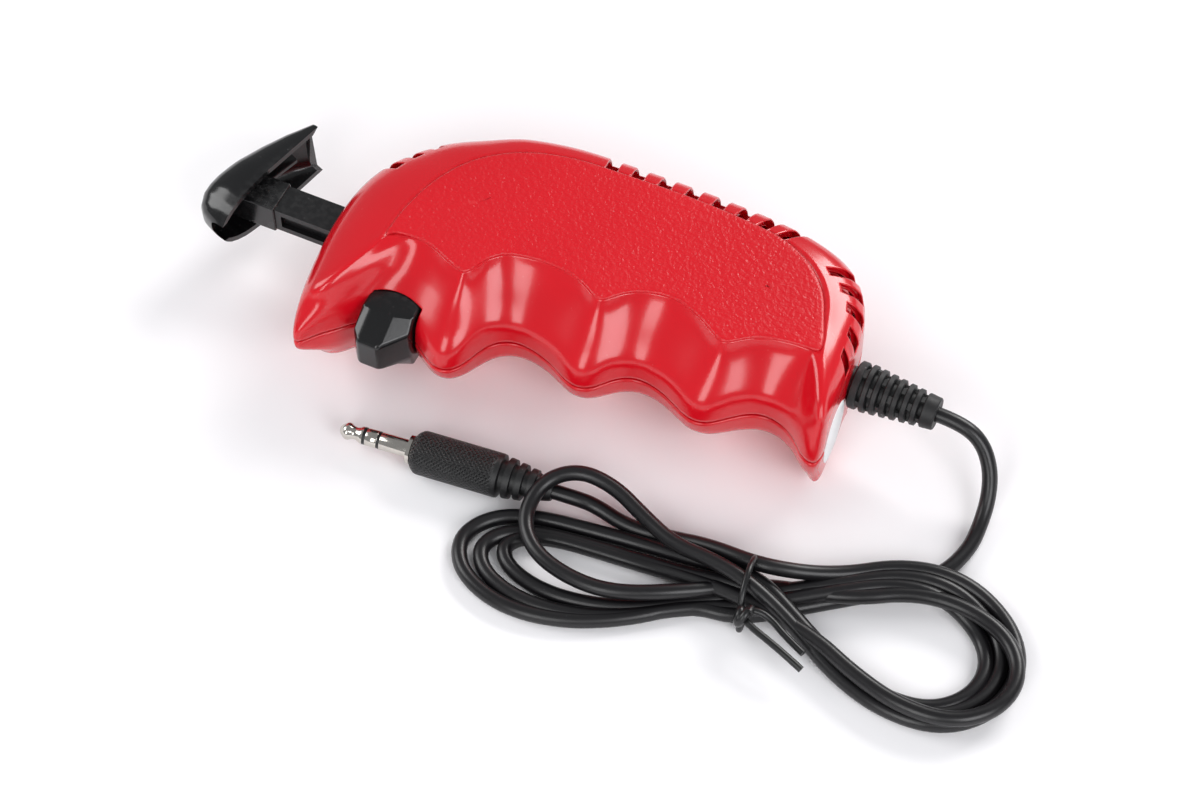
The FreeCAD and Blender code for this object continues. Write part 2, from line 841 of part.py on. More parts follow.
def coil_spring(label, start, direction, length, radius, wire, turns):
    """A compression spring from start along direction.

    Its wire is six-sided and bends in short straight lengths, a dozen or so
    to the turn, so the solid has flat faces only.
    """
    per_turn, sides = 14, 6
    rings = []
    steps = int(turns * per_turn)
    for n in range(steps + 1):
        angle = 2 * math.pi * n / per_turn
        rise = wire / 2 + (length - wire) * n / steps
        outward = FreeCAD.Vector(math.cos(angle), math.sin(angle), 0)
        ring = []
        for k in range(sides):
            turn = 2 * math.pi * k / sides
            offset = outward * (wire / 2 * math.cos(turn))
            offset.z = wire / 2 * math.sin(turn)
            ring.append(outward * radius + FreeCAD.Vector(0, 0, rise) + offset)
        rings.append(ring)
    faces = []

    def add_face(*corners):
        faces.append(Part.Face(Part.makePolygon(list(corners) + [corners[0]])))

    for before, after in zip(rings, rings[1:]):
        for k in range(sides):
            m = (k + 1) % sides
            add_face(before[k], before[m], after[m])
            add_face(before[k], after[m], after[k])
    add_face(*rings[0])
    add_face(*rings[-1])
    shell = Part.Shell(faces)
    shell.sewShape()
    solid = Part.makeSolid(shell)
    if solid.Volume < 0:
        solid.reverse()
    spring = doc.addObject("Part::Feature", "Spring_" + label)
    spring.Label = label
    spring.Shape = solid
    turn = FreeCAD.Rotation(FreeCAD.Vector(0, 0, 1), direction)
    shift = FreeCAD.Vector(SIZES["shift_x"], SIZES["shift_y"], 0)
    spring.Placement = FreeCAD.Placement(shift + start, turn)
    SUBPARTS.append(spring)
    return spring


def build_springs():
    gap = 0.3
    rod_end = SIZES["rod_end"]
    coil_spring(
        "plunger_spring",
        FreeCAD.Vector(rod_end + gap, SIZES["rod_axis"], HALF),
        FreeCAD.Vector(1, 0, 0),
        SIZES["spring_seat"] - rod_end - 2 * gap,
        SIZES["spring_radius"],
        SIZES["spring_wire"],
        SIZES["spring_turns"],
    )
    back = SIZES["button_back"] + gap
    seat = SIZES["rod_axis"] - SIZES["rod_width"] / 2 - 3.4
    coil_spring(
        "button_spring",
        FreeCAD.Vector(SIZES["button_left"] + SIZES["button_length"] / 2, back, HALF),
        FreeCAD.Vector(0, 1, 0),
        seat - back - gap,
        SIZES["button_spring_radius"],
        SIZES["button_spring_wire"],
        SIZES["button_spring_turns"],
    )


# --------------------------------------------------------------------------
# Resistor and wiring
# --------------------------------------------------------------------------


def build_resistor():
    front = "Sizes.former_front"
    back = "Sizes.former_front + Sizes.former_width"
    left = "Sizes.former_left"
    right = "Sizes.former_left + Sizes.former_length"
    body = new_body("resistor_former")
    box(body, "block", "Pad", left, right, front, back, f"{MID} - 9", "18")

    body = new_body("resistor_winding")
    start = "Sizes.former_left + (Sizes.former_length - Sizes.winding_length) / 2"
    build = "Sizes.winding_build"
    box(
        body,
        "sleeve",
        "Pad",
        start,
        f"{start} + Sizes.winding_length",
        f"{front} - {build}",
        f"{back} + {build}",
        f"{MID} - 9 - {build}",
        f"18 + 2 * {build}",
    )
    box(body, "core", "Pocket", f"{start} - 1", f"{start} + Sizes.winding_length + 1", front, back, f"{MID} - 9", "18")

    for label, place in (
        ("terminal_front", f"{left} + 0.5"),
        ("terminal_rear", f"{right} - 2.5"),
    ):
        body = new_body(label)
        box(body, "tag", "Pad", place, f"{place} + 2", f"{back}", f"{back} + 0.4", f"{MID} - 4", "10")


def wire_run(label, points, radius):
    """A round wire along straight runs joined by arcs."""
    wire = doc.addObject("Part::Feature", "Wire_" + label)
    wire.Label = label
    wire.Shape = tube(label, points, radius)
    wire.Placement = FreeCAD.Placement(FreeCAD.Vector(SIZES["shift_x"], SIZES["shift_y"], 0), FreeCAD.Rotation())
    SUBPARTS.append(wire)
    return wire


def tube(label, route, radius):
    """A solid tube along straight runs joined by the largest tangent arcs."""
    points = [FreeCAD.Vector(*p) for p in route]
    edges = []
    radii = []
    last = points[0]
    for n in range(1, len(points) - 1):
        before, here, after = points[n - 1], points[n], points[n + 1]
        into = (here - before).normalize()
        out = (after - here).normalize()
        reach = 0.45 * min((here - before).Length, (after - here).Length)
        half_turn = into.getAngle(out) / 2
        bend = reach / math.tan(half_turn)
        radii.append(round(bend, 1))
        enter = here - into * reach
        leave = here + out * reach
        middle = (out - into).normalize()
        centre = here + middle * (bend / math.cos(half_turn))
        top = centre - middle * bend
        edges.append(Part.LineSegment(last, enter).toShape())
        edges.append(Part.Arc(enter, top, leave).toShape())
        last = leave
    edges.append(Part.LineSegment(last, points[-1]).toShape())
    path = Part.Wire(edges)
    profile = Part.Wire([Part.makeCircle(radius, points[0], points[1] - points[0])])
    shape = path.makePipeShell([profile], True, False, 2)
    expected = math.pi * radius**2 * path.Length
    print(label, "bend radii", radii, "length", round(path.Length, 1), "volume ratio", round(shape.Volume / expected, 4))
    return shape


# --------------------------------------------------------------------------
# Strain relief, label, cord and plug
# --------------------------------------------------------------------------


def boot_outside():
    """Where the strain relief's base meets the end wall."""
    return along(100.1)


def build_boot():
    """A ribbed strain relief: flange inside, neck in the wall, ribs outside."""
    body = new_body("strain_relief", y="Sizes.boot_axis", z=MID)
    face = boot_outside()
    neck = "Sizes.boot_neck_radius - 0.1"
    ribs = int(SIZES["boot_ribs"])
    corners = [
        (f"{face} - 6", "0"),
        (f"{face} - 6", "Sizes.boot_neck_radius + 1.2"),
        (f"{face} - 4", "Sizes.boot_neck_radius + 1.2"),
        (f"{face} - 4", neck),
        (f"{face} + 0.6", neck),
        (f"{face} + 0.6", "Sizes.boot_base_radius"),
        (f"{face} + 2", "Sizes.boot_base_radius"),
    ]
    pitch = f"(Sizes.boot_length - 2) / {ribs}"
    for n in range(ribs):
        start = f"{face} + 2 + {n} * {pitch}"
        size = f"Sizes.boot_base_radius - 0.2 - {n / (ribs - 1)} * (Sizes.boot_base_radius - 0.2 - Sizes.boot_tip_radius)"
        corners.append((start, "Sizes.boot_tip_radius - 0.7"))
        corners.append((f"{start} + 0.42 * {pitch}", "Sizes.boot_tip_radius - 0.7"))
        corners.append((f"{start} + 0.42 * {pitch}", size))
        corners.append((f"{start} + {pitch}", f"{size} - 0.1"))
    corners.append((f"{face} + Sizes.boot_length", "0"))
    revolve(body, "profile", corners)


def build_label():
    """A blank paper label on the end flat."""
    body = new_body("end_label")
    box(
        body,
        "sheet",
        "Pad",
        along(100.35),
        f"{along(100.35)} + 0.12",
        across(18.6),
        across(30.4),
        f"{MID} - 8.5",
        "17",
    )


def build_hank():
    """The tied figure-eight of cord as one solid, waisted at the tie."""
    body = new_body("cord_hank")
    outline_sketch = new_sketch(body, "outline")
    add_curve(outline_sketch, HANK_OUTLINE)
    extrude(body, "Pad", outline_sketch, "Sizes.hank_height")
    holes = new_sketch(body, "holes")
    for hole in HANK_HOLES:
        add_curve(holes, hole)
    extrude(body, "Pocket", holes, "Sizes.hank_height", reversed_=True)
    width = "Sizes.tie_width / 2 + 0.1"
    box(
        body,
        "tie_way",
        "Pocket",
        f"{TIE_AT[0]} - ({width})",
        f"{TIE_AT[0]} + {width}",
        f"{TIE_AT[1]} - 20",
        f"{TIE_AT[1]} + 20",
        "0",
        "Sizes.tie_thickness",
    )


def build_tie():
    """A strap round the hank's waist, with its knot on top."""
    body = new_body("hank_tie")
    x0 = f"{TIE_AT[0]} - Sizes.tie_width / 2"
    x1 = f"{TIE_AT[0]} + Sizes.tie_width / 2"
    y0, y1 = TIE_AT[1] - 5.6, TIE_AT[1] + 4.8
    box(body, "loop", "Pad", x0, x1, f"{y0}", f"{y1}", "0", "Sizes.hank_height + Sizes.tie_thickness")
    box(
        body,
        "inside",
        "Pocket",
        f"{x0} - 1",
        f"{x1} + 1",
        f"{y0} + Sizes.tie_thickness",
        f"{y1} - Sizes.tie_thickness",
        "Sizes.tie_thickness",
        "Sizes.hank_height - Sizes.tie_thickness",
    )
    box(
        body,
        "knot",
        "Pad",
        x0,
        x1,
        f"{TIE_AT[1]} - 2.4",
        f"{TIE_AT[1]} + 1.6",
        "Sizes.hank_height + Sizes.tie_thickness",
        "2",
    )


def plug_body(label):
    """A body that lies along the plug's axis, which runs from its tip."""
    turn = FreeCAD.Rotation(FreeCAD.Vector(0, 0, 1), PLUG_TURN)
    return new_body(label, x=str(PLUG_TIP[0]), y=str(PLUG_TIP[1]), z="Sizes.barrel_radius", rotation=turn)


def build_plug():
    pin = "Sizes.plug_radius"
    body = plug_body("plug_tip")
    revolve(
        body,
        "profile",
        [("0", "0"), ("0.1", "0.75"), ("1.3", "1.7"), ("2.0", "1.7"), ("3.0", "1.25"), ("4.6", pin), ("4.9", pin), ("4.9", "0")],
    )
    for label, start, stop in (("plug_insulator_front", 4.9, 5.5), ("plug_insulator_rear", 7.8, 8.4)):
        body = plug_body(label)
        revolve(body, "profile", [(start, "0"), (start, pin), (stop, pin), (stop, "0")])
    body = plug_body("plug_ring")
    revolve(body, "profile", [("5.5", "0"), ("5.5", pin), ("7.8", pin), ("7.8", "0")])
    body = plug_body("plug_sleeve")
    end = "Sizes.plug_length"
    revolve(
        body,
        "profile",
        [
            ("8.4", "0"),
            ("8.4", pin),
            (f"{end} - 0.9", pin),
            (f"{end} - 0.9", "2.9"),
            (end, "2.9"),
            (end, "0"),
        ],
    )
    body = plug_body("plug_barrel")
    rear = f"{end} + Sizes.barrel_length"
    corners = [
        (end, "0"),
        (end, "Sizes.barrel_radius - 1.3"),
        (f"{end} + 1.3", "Sizes.barrel_radius"),
        (rear, "Sizes.barrel_radius"),
    ]
    for n in range(3):
        start = f"{rear} + {n} * Sizes.barrel_tail / 4"
        size = f"Sizes.barrel_radius - {0.5 * (n + 1)}"
        corners.append((start, f"{size} - 0.7"))
        corners.append((f"{start} + 1.0", f"{size} - 0.7"))
        corners.append((f"{start} + 1.0", size))
        corners.append((f"{rear} + {n + 1} * Sizes.barrel_tail / 4", f"{size} - 0.1"))
    corners.append((f"{rear} + Sizes.barrel_tail", "Sizes.cord_radius + 0.4"))
    corners.append((f"{rear} + Sizes.barrel_tail", "0"))
    revolve(body, "profile", corners)


def plug_point(distance):
    """A point on the plug's axis, that far from its tip."""
    turn = math.radians(PLUG_TURN)
    return (
        PLUG_TIP[0] + distance * math.cos(turn),
        PLUG_TIP[1] + distance * math.sin(turn),
        SIZES["barrel_radius"],
    )


def build_cords():
    tail_start = SIZES["plug_length"] + SIZES["barrel_length"] + SIZES["barrel_tail"]
    tail_route = [
        plug_point(tail_start),
        plug_point(tail_start + 5.0),
        (66.3, -2.7, 4.0),
        (71.0, -3.6, 3.6),
    ]
    lead_start = (100.1 * KX + SIZES["boot_length"], SIZES["boot_axis"], HALF)
    follow = [1.0, 1.0, 1.0, 0.8, 0.6, 0.3] + [0.0] * (len(LEAD_ROUTE) - 6)
    moved = [now - then for now, then in zip(lead_start, LEAD_ROUTE[0])]
    lead_route = [tuple(c + share * m for c, m in zip(point, moved)) for share, point in zip(follow, LEAD_ROUTE)]
    wire_run("cord_lead", lead_route, SIZES["cord_radius"])
    wire_run("cord_tail", tail_route, SIZES["cord_radius"])


def build_leads():
    """The cord's inner end and its three cores inside the grip."""
    axis = SIZES["boot_axis"]
    start = 100.1 * KX - 6.0
    wire_run(
        "cord_inner",
        [(start, axis, HALF), (start - 3.0, axis, HALF), (start - 6.0, axis - 0.6, HALF - 0.3)],
        SIZES["cord_radius"],
    )




def find_origin():
    """Set the shift that puts the origin under the middle of the object.

    The object reaches from the thumb cap to the strain relief along X, and
    as far as the grip's outline along Y.
    """
    across_grip = [y for _, y in outline(0.0)]
    along_x = [min(x for x, _ in CAP_OUTER), 100.1 * KX + SIZES["boot_length"]]
    names = list(SIZES)
    for name, reach in (("shift_x", along_x), ("shift_y", across_grip)):
        SIZES[name] = -(min(reach) + max(reach)) / 2
        sheet.set(f"B{names.index(name) + 1}", repr(SIZES[name]))
    doc.recompute()


find_origin()
build_shells()
build_screws()
build_rod()
build_cap()
build_wiper()
build_button()
build_button_parts()
build_springs()
build_resistor()
build_boot()
build_label()
build_hank()
build_tie()
build_plug()
build_cords()
build_leads()
doc.recompute()

def check_document():
    """Stop before anything is written if a feature or a shape is bad."""
    faults = []
    for item in doc.Objects:
        if "Invalid" in item.State or "Error" in item.State:
            faults.append(f"{item.Label}: {item.State}")
    for part in SUBPARTS:
        shape = part.Shape
        if shape.isNull() or not shape.isValid() or not shape.Solids:
            faults.append(f"{part.Label}: bad shape")
        else:
            print(part.Label, len(shape.Solids), round(shape.Volume, 1))
    if faults:
        raise RuntimeError("; ".join(faults))


check_document()

os.makedirs("parts", exist_ok=True)
for part in SUBPARTS:
    part.Shape.exportStep(f"parts/{part.Label}.step")
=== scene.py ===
"""Looks for a slot-car hand controller: grip shells, plunger, push button, strain relief, tied cord and plug."""
import math

import bmesh
import bpy
import numpy as np
from bpy.props import FloatProperty, FloatVectorProperty, PointerProperty
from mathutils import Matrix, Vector


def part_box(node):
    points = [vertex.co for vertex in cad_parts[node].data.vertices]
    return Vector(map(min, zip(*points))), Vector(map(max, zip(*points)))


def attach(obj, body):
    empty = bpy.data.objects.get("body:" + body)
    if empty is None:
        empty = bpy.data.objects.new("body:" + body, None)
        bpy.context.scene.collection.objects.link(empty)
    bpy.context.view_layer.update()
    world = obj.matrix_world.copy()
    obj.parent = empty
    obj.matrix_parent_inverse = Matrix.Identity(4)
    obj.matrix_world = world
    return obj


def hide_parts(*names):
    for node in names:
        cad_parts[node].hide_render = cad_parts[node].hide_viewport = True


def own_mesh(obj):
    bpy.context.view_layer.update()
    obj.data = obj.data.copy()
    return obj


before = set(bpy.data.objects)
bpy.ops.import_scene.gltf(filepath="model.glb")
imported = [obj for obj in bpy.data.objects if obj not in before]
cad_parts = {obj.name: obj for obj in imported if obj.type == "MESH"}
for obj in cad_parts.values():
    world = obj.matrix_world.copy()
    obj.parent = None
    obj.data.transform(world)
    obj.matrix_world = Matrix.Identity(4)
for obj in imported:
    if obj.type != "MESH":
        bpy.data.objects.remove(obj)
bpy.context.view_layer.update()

bl_info = {
    "name": "Slot-car hand controller",
    "version": (1, 0, 0),
    "blender": (4, 5, 0),
    "location": "View3D > Sidebar > Controller",
    "description": "Builds the visible pieces of a slot-car hand controller on its CAD frame",
    "category": "Object",
}

# Plan coordinates of the grip are in millimetres, with X along the plunger,
# Y from the finger grooves to the spine and Z up from the table.
SHIFT = np.array([-42.4, -29.55, 0.0])
MID = 15.0
HALF = 14.6
PANEL_BASE = 13.2
PANEL_TOP = 15.0
PARTING_GAP = 0.19
LIP = 0.4
RAIL_STEP = 0.2
TIP_REACH = 7.0
LINER_GAP = 2.3

# Rings of the panel's edge: inset from the panel's outline, and rise
PANEL_EDGE = (
    (0.9, PANEL_BASE), (0.12, 13.4), (0.02, 14.45), (0.05, 14.66), (0.16, 14.82), (0.36, 14.94), (0.7, 14.99),
    (1.2, PANEL_TOP),
)

# Vents of the end and of the front lie by millimetres round the outline, the
# end's with the share of the half's height that they reach; the windows are
# from, to and half height.
SPINE_VENTS = 8
SPINE_VENT_FIRST = 41.0
SPINE_VENT_PITCH = 5.8
SPINE_VENT_HALF = 1.3
END_VENTS = ((158.0, 0.95), (153.2, 0.925), (148.2, 0.90), (142.8, 0.85), (137.0, 0.84))
FRONT_VENTS = (251.4, 256.6, 261.6)
BUTTON_WINDOW = (9.95, 20.85, 7.05)
ROD_WINDOW = (24.6, 31.8, 3.15)

# Stations round the grip: outline X and Y, panel edge X and Y, then how much
# of each kind of wall in WALLS stands there
STATIONS = np.array([
    (0.0, 0.0, 10.0, 20.9, 0, 0, 1), (2.6, 2.7, 10.9, 21.7, .1, 0, .9), (5.4, 5.6, 12.6, 22.3, .4, 0, .6),
    (8.2, 8.5, 14.4, 22.5, .8, 0, .2), (11.5, 10.8, 16.4, 22.5, 1, 0, 0), (15.0, 11.8, 18.6, 22.1, 1, 0, 0),
    (18.3, 11.3, 20.8, 21.3, 1, 0, 0), (21.2, 9.4, 23.2, 20.2, 1, 0, 0), (24.3, 7.3, 25.6, 19.4, 1, 0, 0),
    (27.3, 5.9, 27.6, 19.3, 1, 0, 0), (29.5, 6.4, 28.6, 20.9, 1, 0, 0), (31.2, 8.2, 29.6, 23.2, 1, 0, 0),
    (32.4, 11.0, 31.0, 25.0, 1, 0, 0), (33.9, 14.5, 33.0, 26.4, 1, 0, 0), (36.1, 16.7, 35.8, 27.2, 1, 0, 0),
    (39.3, 17.6, 39.3, 27.6, 1, 0, 0), (42.9, 17.1, 42.9, 27.5, 1, 0, 0), (46.7, 15.8, 46.4, 26.9, 1, 0, 0),
    (50.2, 13.9, 49.8, 25.4, 1, 0, 0), (53.2, 13.1, 53.0, 24.0, 1, 0, 0), (55.4, 13.8, 54.8, 25.3, 1, 0, 0),
    (57.4, 15.8, 56.6, 27.2, 1, 0, 0), (59.4, 18.0, 58.8, 28.7, 1, 0, 0), (61.9, 19.4, 61.6, 29.7, 1, 0, 0),
    (64.8, 19.6, 64.8, 30.1, 1, 0, 0), (67.9, 18.9, 68.2, 29.5, 1, 0, 0), (71.0, 17.5, 71.8, 28.0, 1, 0, 0),
    (73.7, 16.1, 74.8, 26.2, 1, 0, 0), (76.2, 15.4, 77.4, 24.9, 1, 0, 0), (78.6, 15.9, 79.2, 25.5, 1, 0, 0),
    (80.9, 17.6, 81.1, 27.0, 1, 0, 0), (83.4, 19.8, 83.6, 28.5, 1, 0, 0), (86.4, 21.7, 86.4, 29.4, 1, 0, 0),
    (89.4, 22.0, 89.3, 29.9, 1, 0, 0), (92.5, 21.1, 91.6, 30.1, 1, 0, 0),
    (95.7, 18.8, 93.4, 30.2, .85, 0, .15), (98.5, 16.3, 94.4, 30.3, .4, .2, .4),
    (100.6, 15.9, 94.9, 30.8, 0, .8, .2), (101.3, 18.2, 94.9, 31.8, 0, 1, 0),
    (101.0, 22.5, 94.5, 33.4, 0, 1, 0), (100.6, 28.0, 93.8, 35.4, 0, 1, 0),
    (100.1, 34.0, 92.7, 38.0, 0, 1, 0), (99.6, 40.0, 91.5, 40.9, 0, 1, 0),
    (98.5, 45.5, 89.9, 43.7, 0, 1, 0), (96.0, 50.5, 87.6, 46.4, 0, 1, 0), (91.8, 54.4, 84.6, 48.9, 0, 1, 0),
    (86.0, 56.7, 80.6, 51.0, 0, 1, 0), (79.0, 58.0, 76.0, 52.3, 0, 1, 0), (71.0, 58.7, 70.0, 53.0, 0, 1, 0),
    (62.0, 59.0, 62.0, 53.5, 0, 1, 0), (53.0, 59.1, 53.2, 53.6, 0, 1, 0), (44.0, 59.0, 44.6, 53.4, 0, 1, 0),
    (35.5, 58.8, 37.0, 53.1, 0, 1, 0), (28.0, 57.9, 30.8, 52.1, 0, 1, 0), (21.0, 56.2, 25.6, 50.4, 0, 1, 0),
    (14.0, 53.6, 21.2, 48.0, 0, .5, .5), (7.5, 50.2, 17.4, 44.8, 0, .4, .6),
    (2.0, 45.8, 14.6, 41.2, 0, 0, 1), (-1.8, 40.3, 12.6, 37.3, 0, 0, 1), (-3.8, 34.0, 11.3, 33.6, 0, 0, 1),
    (-4.3, 27.0, 10.5, 30.1, 0, 0, 1), (-4.0, 20.0, 10.0, 27.0, 0, 0, 1), (-3.2, 13.5, 9.8, 24.6, 0, 0, 1),
    (-2.2, 7.5, 9.7, 22.6, 0, 0, 1), (-1.2, 2.4, 9.7, 21.4, 0, 0, 1),
])
# Shares of the way in at each share of the rise: finger wall, end and spine, tip
LEVELS = np.array([0.0, 0.29, 0.42, 0.55, 0.70, 0.85, 0.94, 1.0])
WALLS = np.array([
    [0.0, 0.055, 0.17, 0.40, 0.66, 0.87, 0.95, 1.0],
    [0.0, 0.0, 0.0, 0.01, 0.06, 0.25, 0.52, 1.0],
    [0.0, 0.0, 0.02, 0.07, 0.20, 0.48, 0.74, 1.0],
])

# Cord, in plan coordinates
LEAD = [
    (117.3, 36.4, 15.0), (122.0, 36.4, 15.0), (126.7, 35.7, 12.8), (129.8, 33.2, 8.9), (131.2, 29.8, 4.9),
    (131.6, 25.2, 2.2), (131.6, 19.8, 1.5), (129.6, 13.2, 1.5), (124.8, 7.4, 1.5), (118.0, 2.0, 1.5),
    (109.6, -4.2, 1.5),
]
CROSSING = (98.6, -8.4)
LEFT_LOBE = [
    (89.0, -13.6), (79.5, -21.6), (69.0, -27.0), (57.5, -28.8), (47.6, -25.4), (43.6, -18.6), (47.2, -11.8),
    (55.0, -8.2), (65.6, -6.6), (77.0, -5.2), (88.2, -5.0),
]
RIGHT_LOBE = [
    (108.4, -10.8), (118.6, -15.8), (129.6, -19.2), (141.0, -18.2), (148.4, -10.8), (149.8, -0.8), (144.6, 7.6),
    (134.2, 11.4), (122.6, 9.8), (111.4, 2.2),
]
TOP_LOOP = [
    (88.0, -13.2), (76.4, -19.2), (67.4, -19.8), (58.8, -17.4), (53.6, -11.2), (54.0, -3.6), (59.6, 0.8),
    (67.2, 0.6), (74.4, -2.4), (82.0, -5.6), (90.4, -6.2),
]
TOP_LOOP_HEIGHTS = (4.8, 4.9, 4.9, 4.9, 4.8, 6.8, 8.2, 7.6, 6.4, 6.2, 7.0)
TAIL = [(88.0, -2.4, 5.0), (79.0, -2.4, 2.0), (71.0, -3.2, 2.0), (64.4, -2.2, 3.2)]
PLUG_TIP = (13.2, -7.6)
PLUG_TURN = 5.6
PLUG_RADIUS = 4.3
PLUG_LENGTH = 43.3
# The diamond pattern's middle and half length along the plug
PATTERN_MIDDLE = 16.4
PATTERN_HALF = 15.0


def place(points):
    """Plan millimetres to the row's metres."""
    return (np.asarray(points, dtype=float) + SHIFT) / 1000.0


# ---------------------------------------------------------------------------
# Sizes and colours that a user may change
# ---------------------------------------------------------------------------


class ControllerShape(bpy.types.PropertyGroup):
    wall: FloatProperty(name="Wall", description="Thickness of the moulded shells", default=0.0016, unit="LENGTH")
    edge: FloatProperty(name="Edge", description="Rounding of moulded openings", default=0.0003, unit="LENGTH")
    cord_diameter: FloatProperty(name="Cord", description="Diameter of the cord", default=0.003, unit="LENGTH")


class ControllerColours(bpy.types.PropertyGroup):
    grip: FloatVectorProperty(
        name="Grip", description="Moulded colour of the grip", subtype="COLOR", size=3,
        default=(0.64, 0.002, 0.010),
    )
    dark: FloatVectorProperty(
        name="Dark", description="Black plastic of the moving parts", subtype="COLOR", size=3,
        default=(0.005, 0.005, 0.0055),
    )
    cord: FloatVectorProperty(
        name="Cord", description="Black of the cord's jacket", subtype="COLOR", size=3,
        default=(0.005, 0.0045, 0.0055),
    )
    metal: FloatVectorProperty(
        name="Plug", description="Plating of the plug", default=(0.78, 0.74, 0.68), subtype="COLOR", size=3
    )


class ControllerStage(bpy.types.PropertyGroup):
    key: FloatProperty(name="Key light", description="Power of the main softbox", default=7.8)
    fill: FloatProperty(name="Fill light", description="Power of the fill softbox", default=3.4)
    room: FloatProperty(name="Room", description="Brightness of the room", default=0.34)


# ---------------------------------------------------------------------------
# Node groups shared by several materials
# ---------------------------------------------------------------------------


def new_group(name, inputs, outputs):
    """An empty shader group with named sockets and its input and output nodes."""
    tree = bpy.data.node_groups.new(name, "ShaderNodeTree")
    for label, kind, value in inputs:
        socket = tree.interface.new_socket(name=label, in_out="INPUT", socket_type=kind)
        if value is not None:
            socket.default_value = value
    for label, kind in outputs:
        tree.interface.new_socket(name=label, in_out="OUTPUT", socket_type=kind)
    return tree, tree.nodes.new("NodeGroupInput"), tree.nodes.new("NodeGroupOutput")


def math_node(tree, operation, a, b=None, clamp=False):
    """A Math node whose inputs are sockets or numbers."""
    node = tree.nodes.new("ShaderNodeMath")
    node.operation = operation
    node.use_clamp = clamp
    for n, value in enumerate((a, b)):
        if value is None:
            continue
        if isinstance(value, (int, float)):
            node.inputs[n].default_value = value
        else:
            tree.links.new(value, node.inputs[n])
    return node.outputs[0]


def ramp(tree, value, low, high):
    """A Map Range node that takes low to 0 and high to 1."""
    node = tree.nodes.new("ShaderNodeMapRange")
    node.inputs["From Min"].default_value = low
    node.inputs["From Max"].default_value = high
    tree.links.new(value, node.inputs["Value"])
    return node.outputs[0]


def noise(tree, vector, scale, detail=2.0, rough=0.5):
    """A Noise node's value."""
    node = tree.nodes.new("ShaderNodeTexNoise")
    node.inputs["Scale"].default_value = scale
    node.inputs["Detail"].default_value = detail
    node.inputs["Roughness"].default_value = rough
    tree.links.new(vector, node.inputs["Vector"])
    return node.outputs["Fac"]


def build_moulding_group():
    """Moulded surface: long soft flow waves, fine speckle, and a roughness that drifts."""
    tree, start, end = new_group(
        "moulded_surface",
        [
            ("Vector", "NodeSocketVector", None), ("Roughness", "NodeSocketFloat", 0.2),
            ("Drift", "NodeSocketFloat", 0.05),
        ],
        [("Roughness", "NodeSocketFloat"), ("Height", "NodeSocketFloat")],
    )
    vector = start.outputs["Vector"]
    broad = noise(tree, vector, 45.0, 2.0)
    fine = noise(tree, vector, 1400.0, 3.0, 0.6)
    drift = math_node(tree, "MULTIPLY", math_node(tree, "SUBTRACT", broad, 0.5), start.outputs["Drift"])
    speckle = math_node(tree, "MULTIPLY", math_node(tree, "SUBTRACT", fine, 0.5), start.outputs["Drift"])
    change = math_node(tree, "ADD", drift, speckle)
    total = math_node(tree, "ADD", start.outputs["Roughness"], change, clamp=True)
    tree.links.new(total, end.inputs["Roughness"])
    waves, grit = math_node(tree, "MULTIPLY", broad, 0.8), math_node(tree, "MULTIPLY", fine, 0.06)
    height = math_node(tree, "ADD", waves, grit)
    tree.links.new(height, end.inputs["Height"])
    return tree


def build_wear_group():
    """Worn edges: where the surface is convex, broken up by noise."""
    tree, start, end = new_group(
        "edge_wear",
        [("Vector", "NodeSocketVector", None), ("Amount", "NodeSocketFloat", 0.5)],
        [("Mask", "NodeSocketFloat")],
    )
    geometry = tree.nodes.new("ShaderNodeNewGeometry")
    convex = ramp(tree, geometry.outputs["Pointiness"], 0.53, 0.62)
    spots = ramp(tree, noise(tree, start.outputs["Vector"], 900.0, 3.0), 0.42, 0.62)
    mask = math_node(tree, "MULTIPLY", convex, spots)
    tree.links.new(math_node(tree, "MULTIPLY", mask, start.outputs["Amount"], clamp=True), end.inputs["Mask"])
    return tree


def build_dust_group():
    """Fine dust and lint: sparse bright specks."""
    tree, start, end = new_group(
        "dust_specks",
        [
            ("Vector", "NodeSocketVector", None), ("Scale", "NodeSocketFloat", 700.0),
            ("Amount", "NodeSocketFloat", 0.5),
        ],
        [("Mask", "NodeSocketFloat")],
    )
    cells = tree.nodes.new("ShaderNodeTexVoronoi")
    tree.links.new(start.outputs["Vector"], cells.inputs["Vector"])
    tree.links.new(start.outputs["Scale"], cells.inputs["Scale"])
    near = ramp(tree, cells.outputs["Distance"], 0.16, 0.06)
    patch = ramp(tree, noise(tree, start.outputs["Vector"], 260.0, 2.0), 0.56, 0.66)
    mask = math_node(tree, "MULTIPLY", near, patch)
    tree.links.new(math_node(tree, "MULTIPLY", mask, start.outputs["Amount"], clamp=True), end.inputs["Mask"])
    return tree


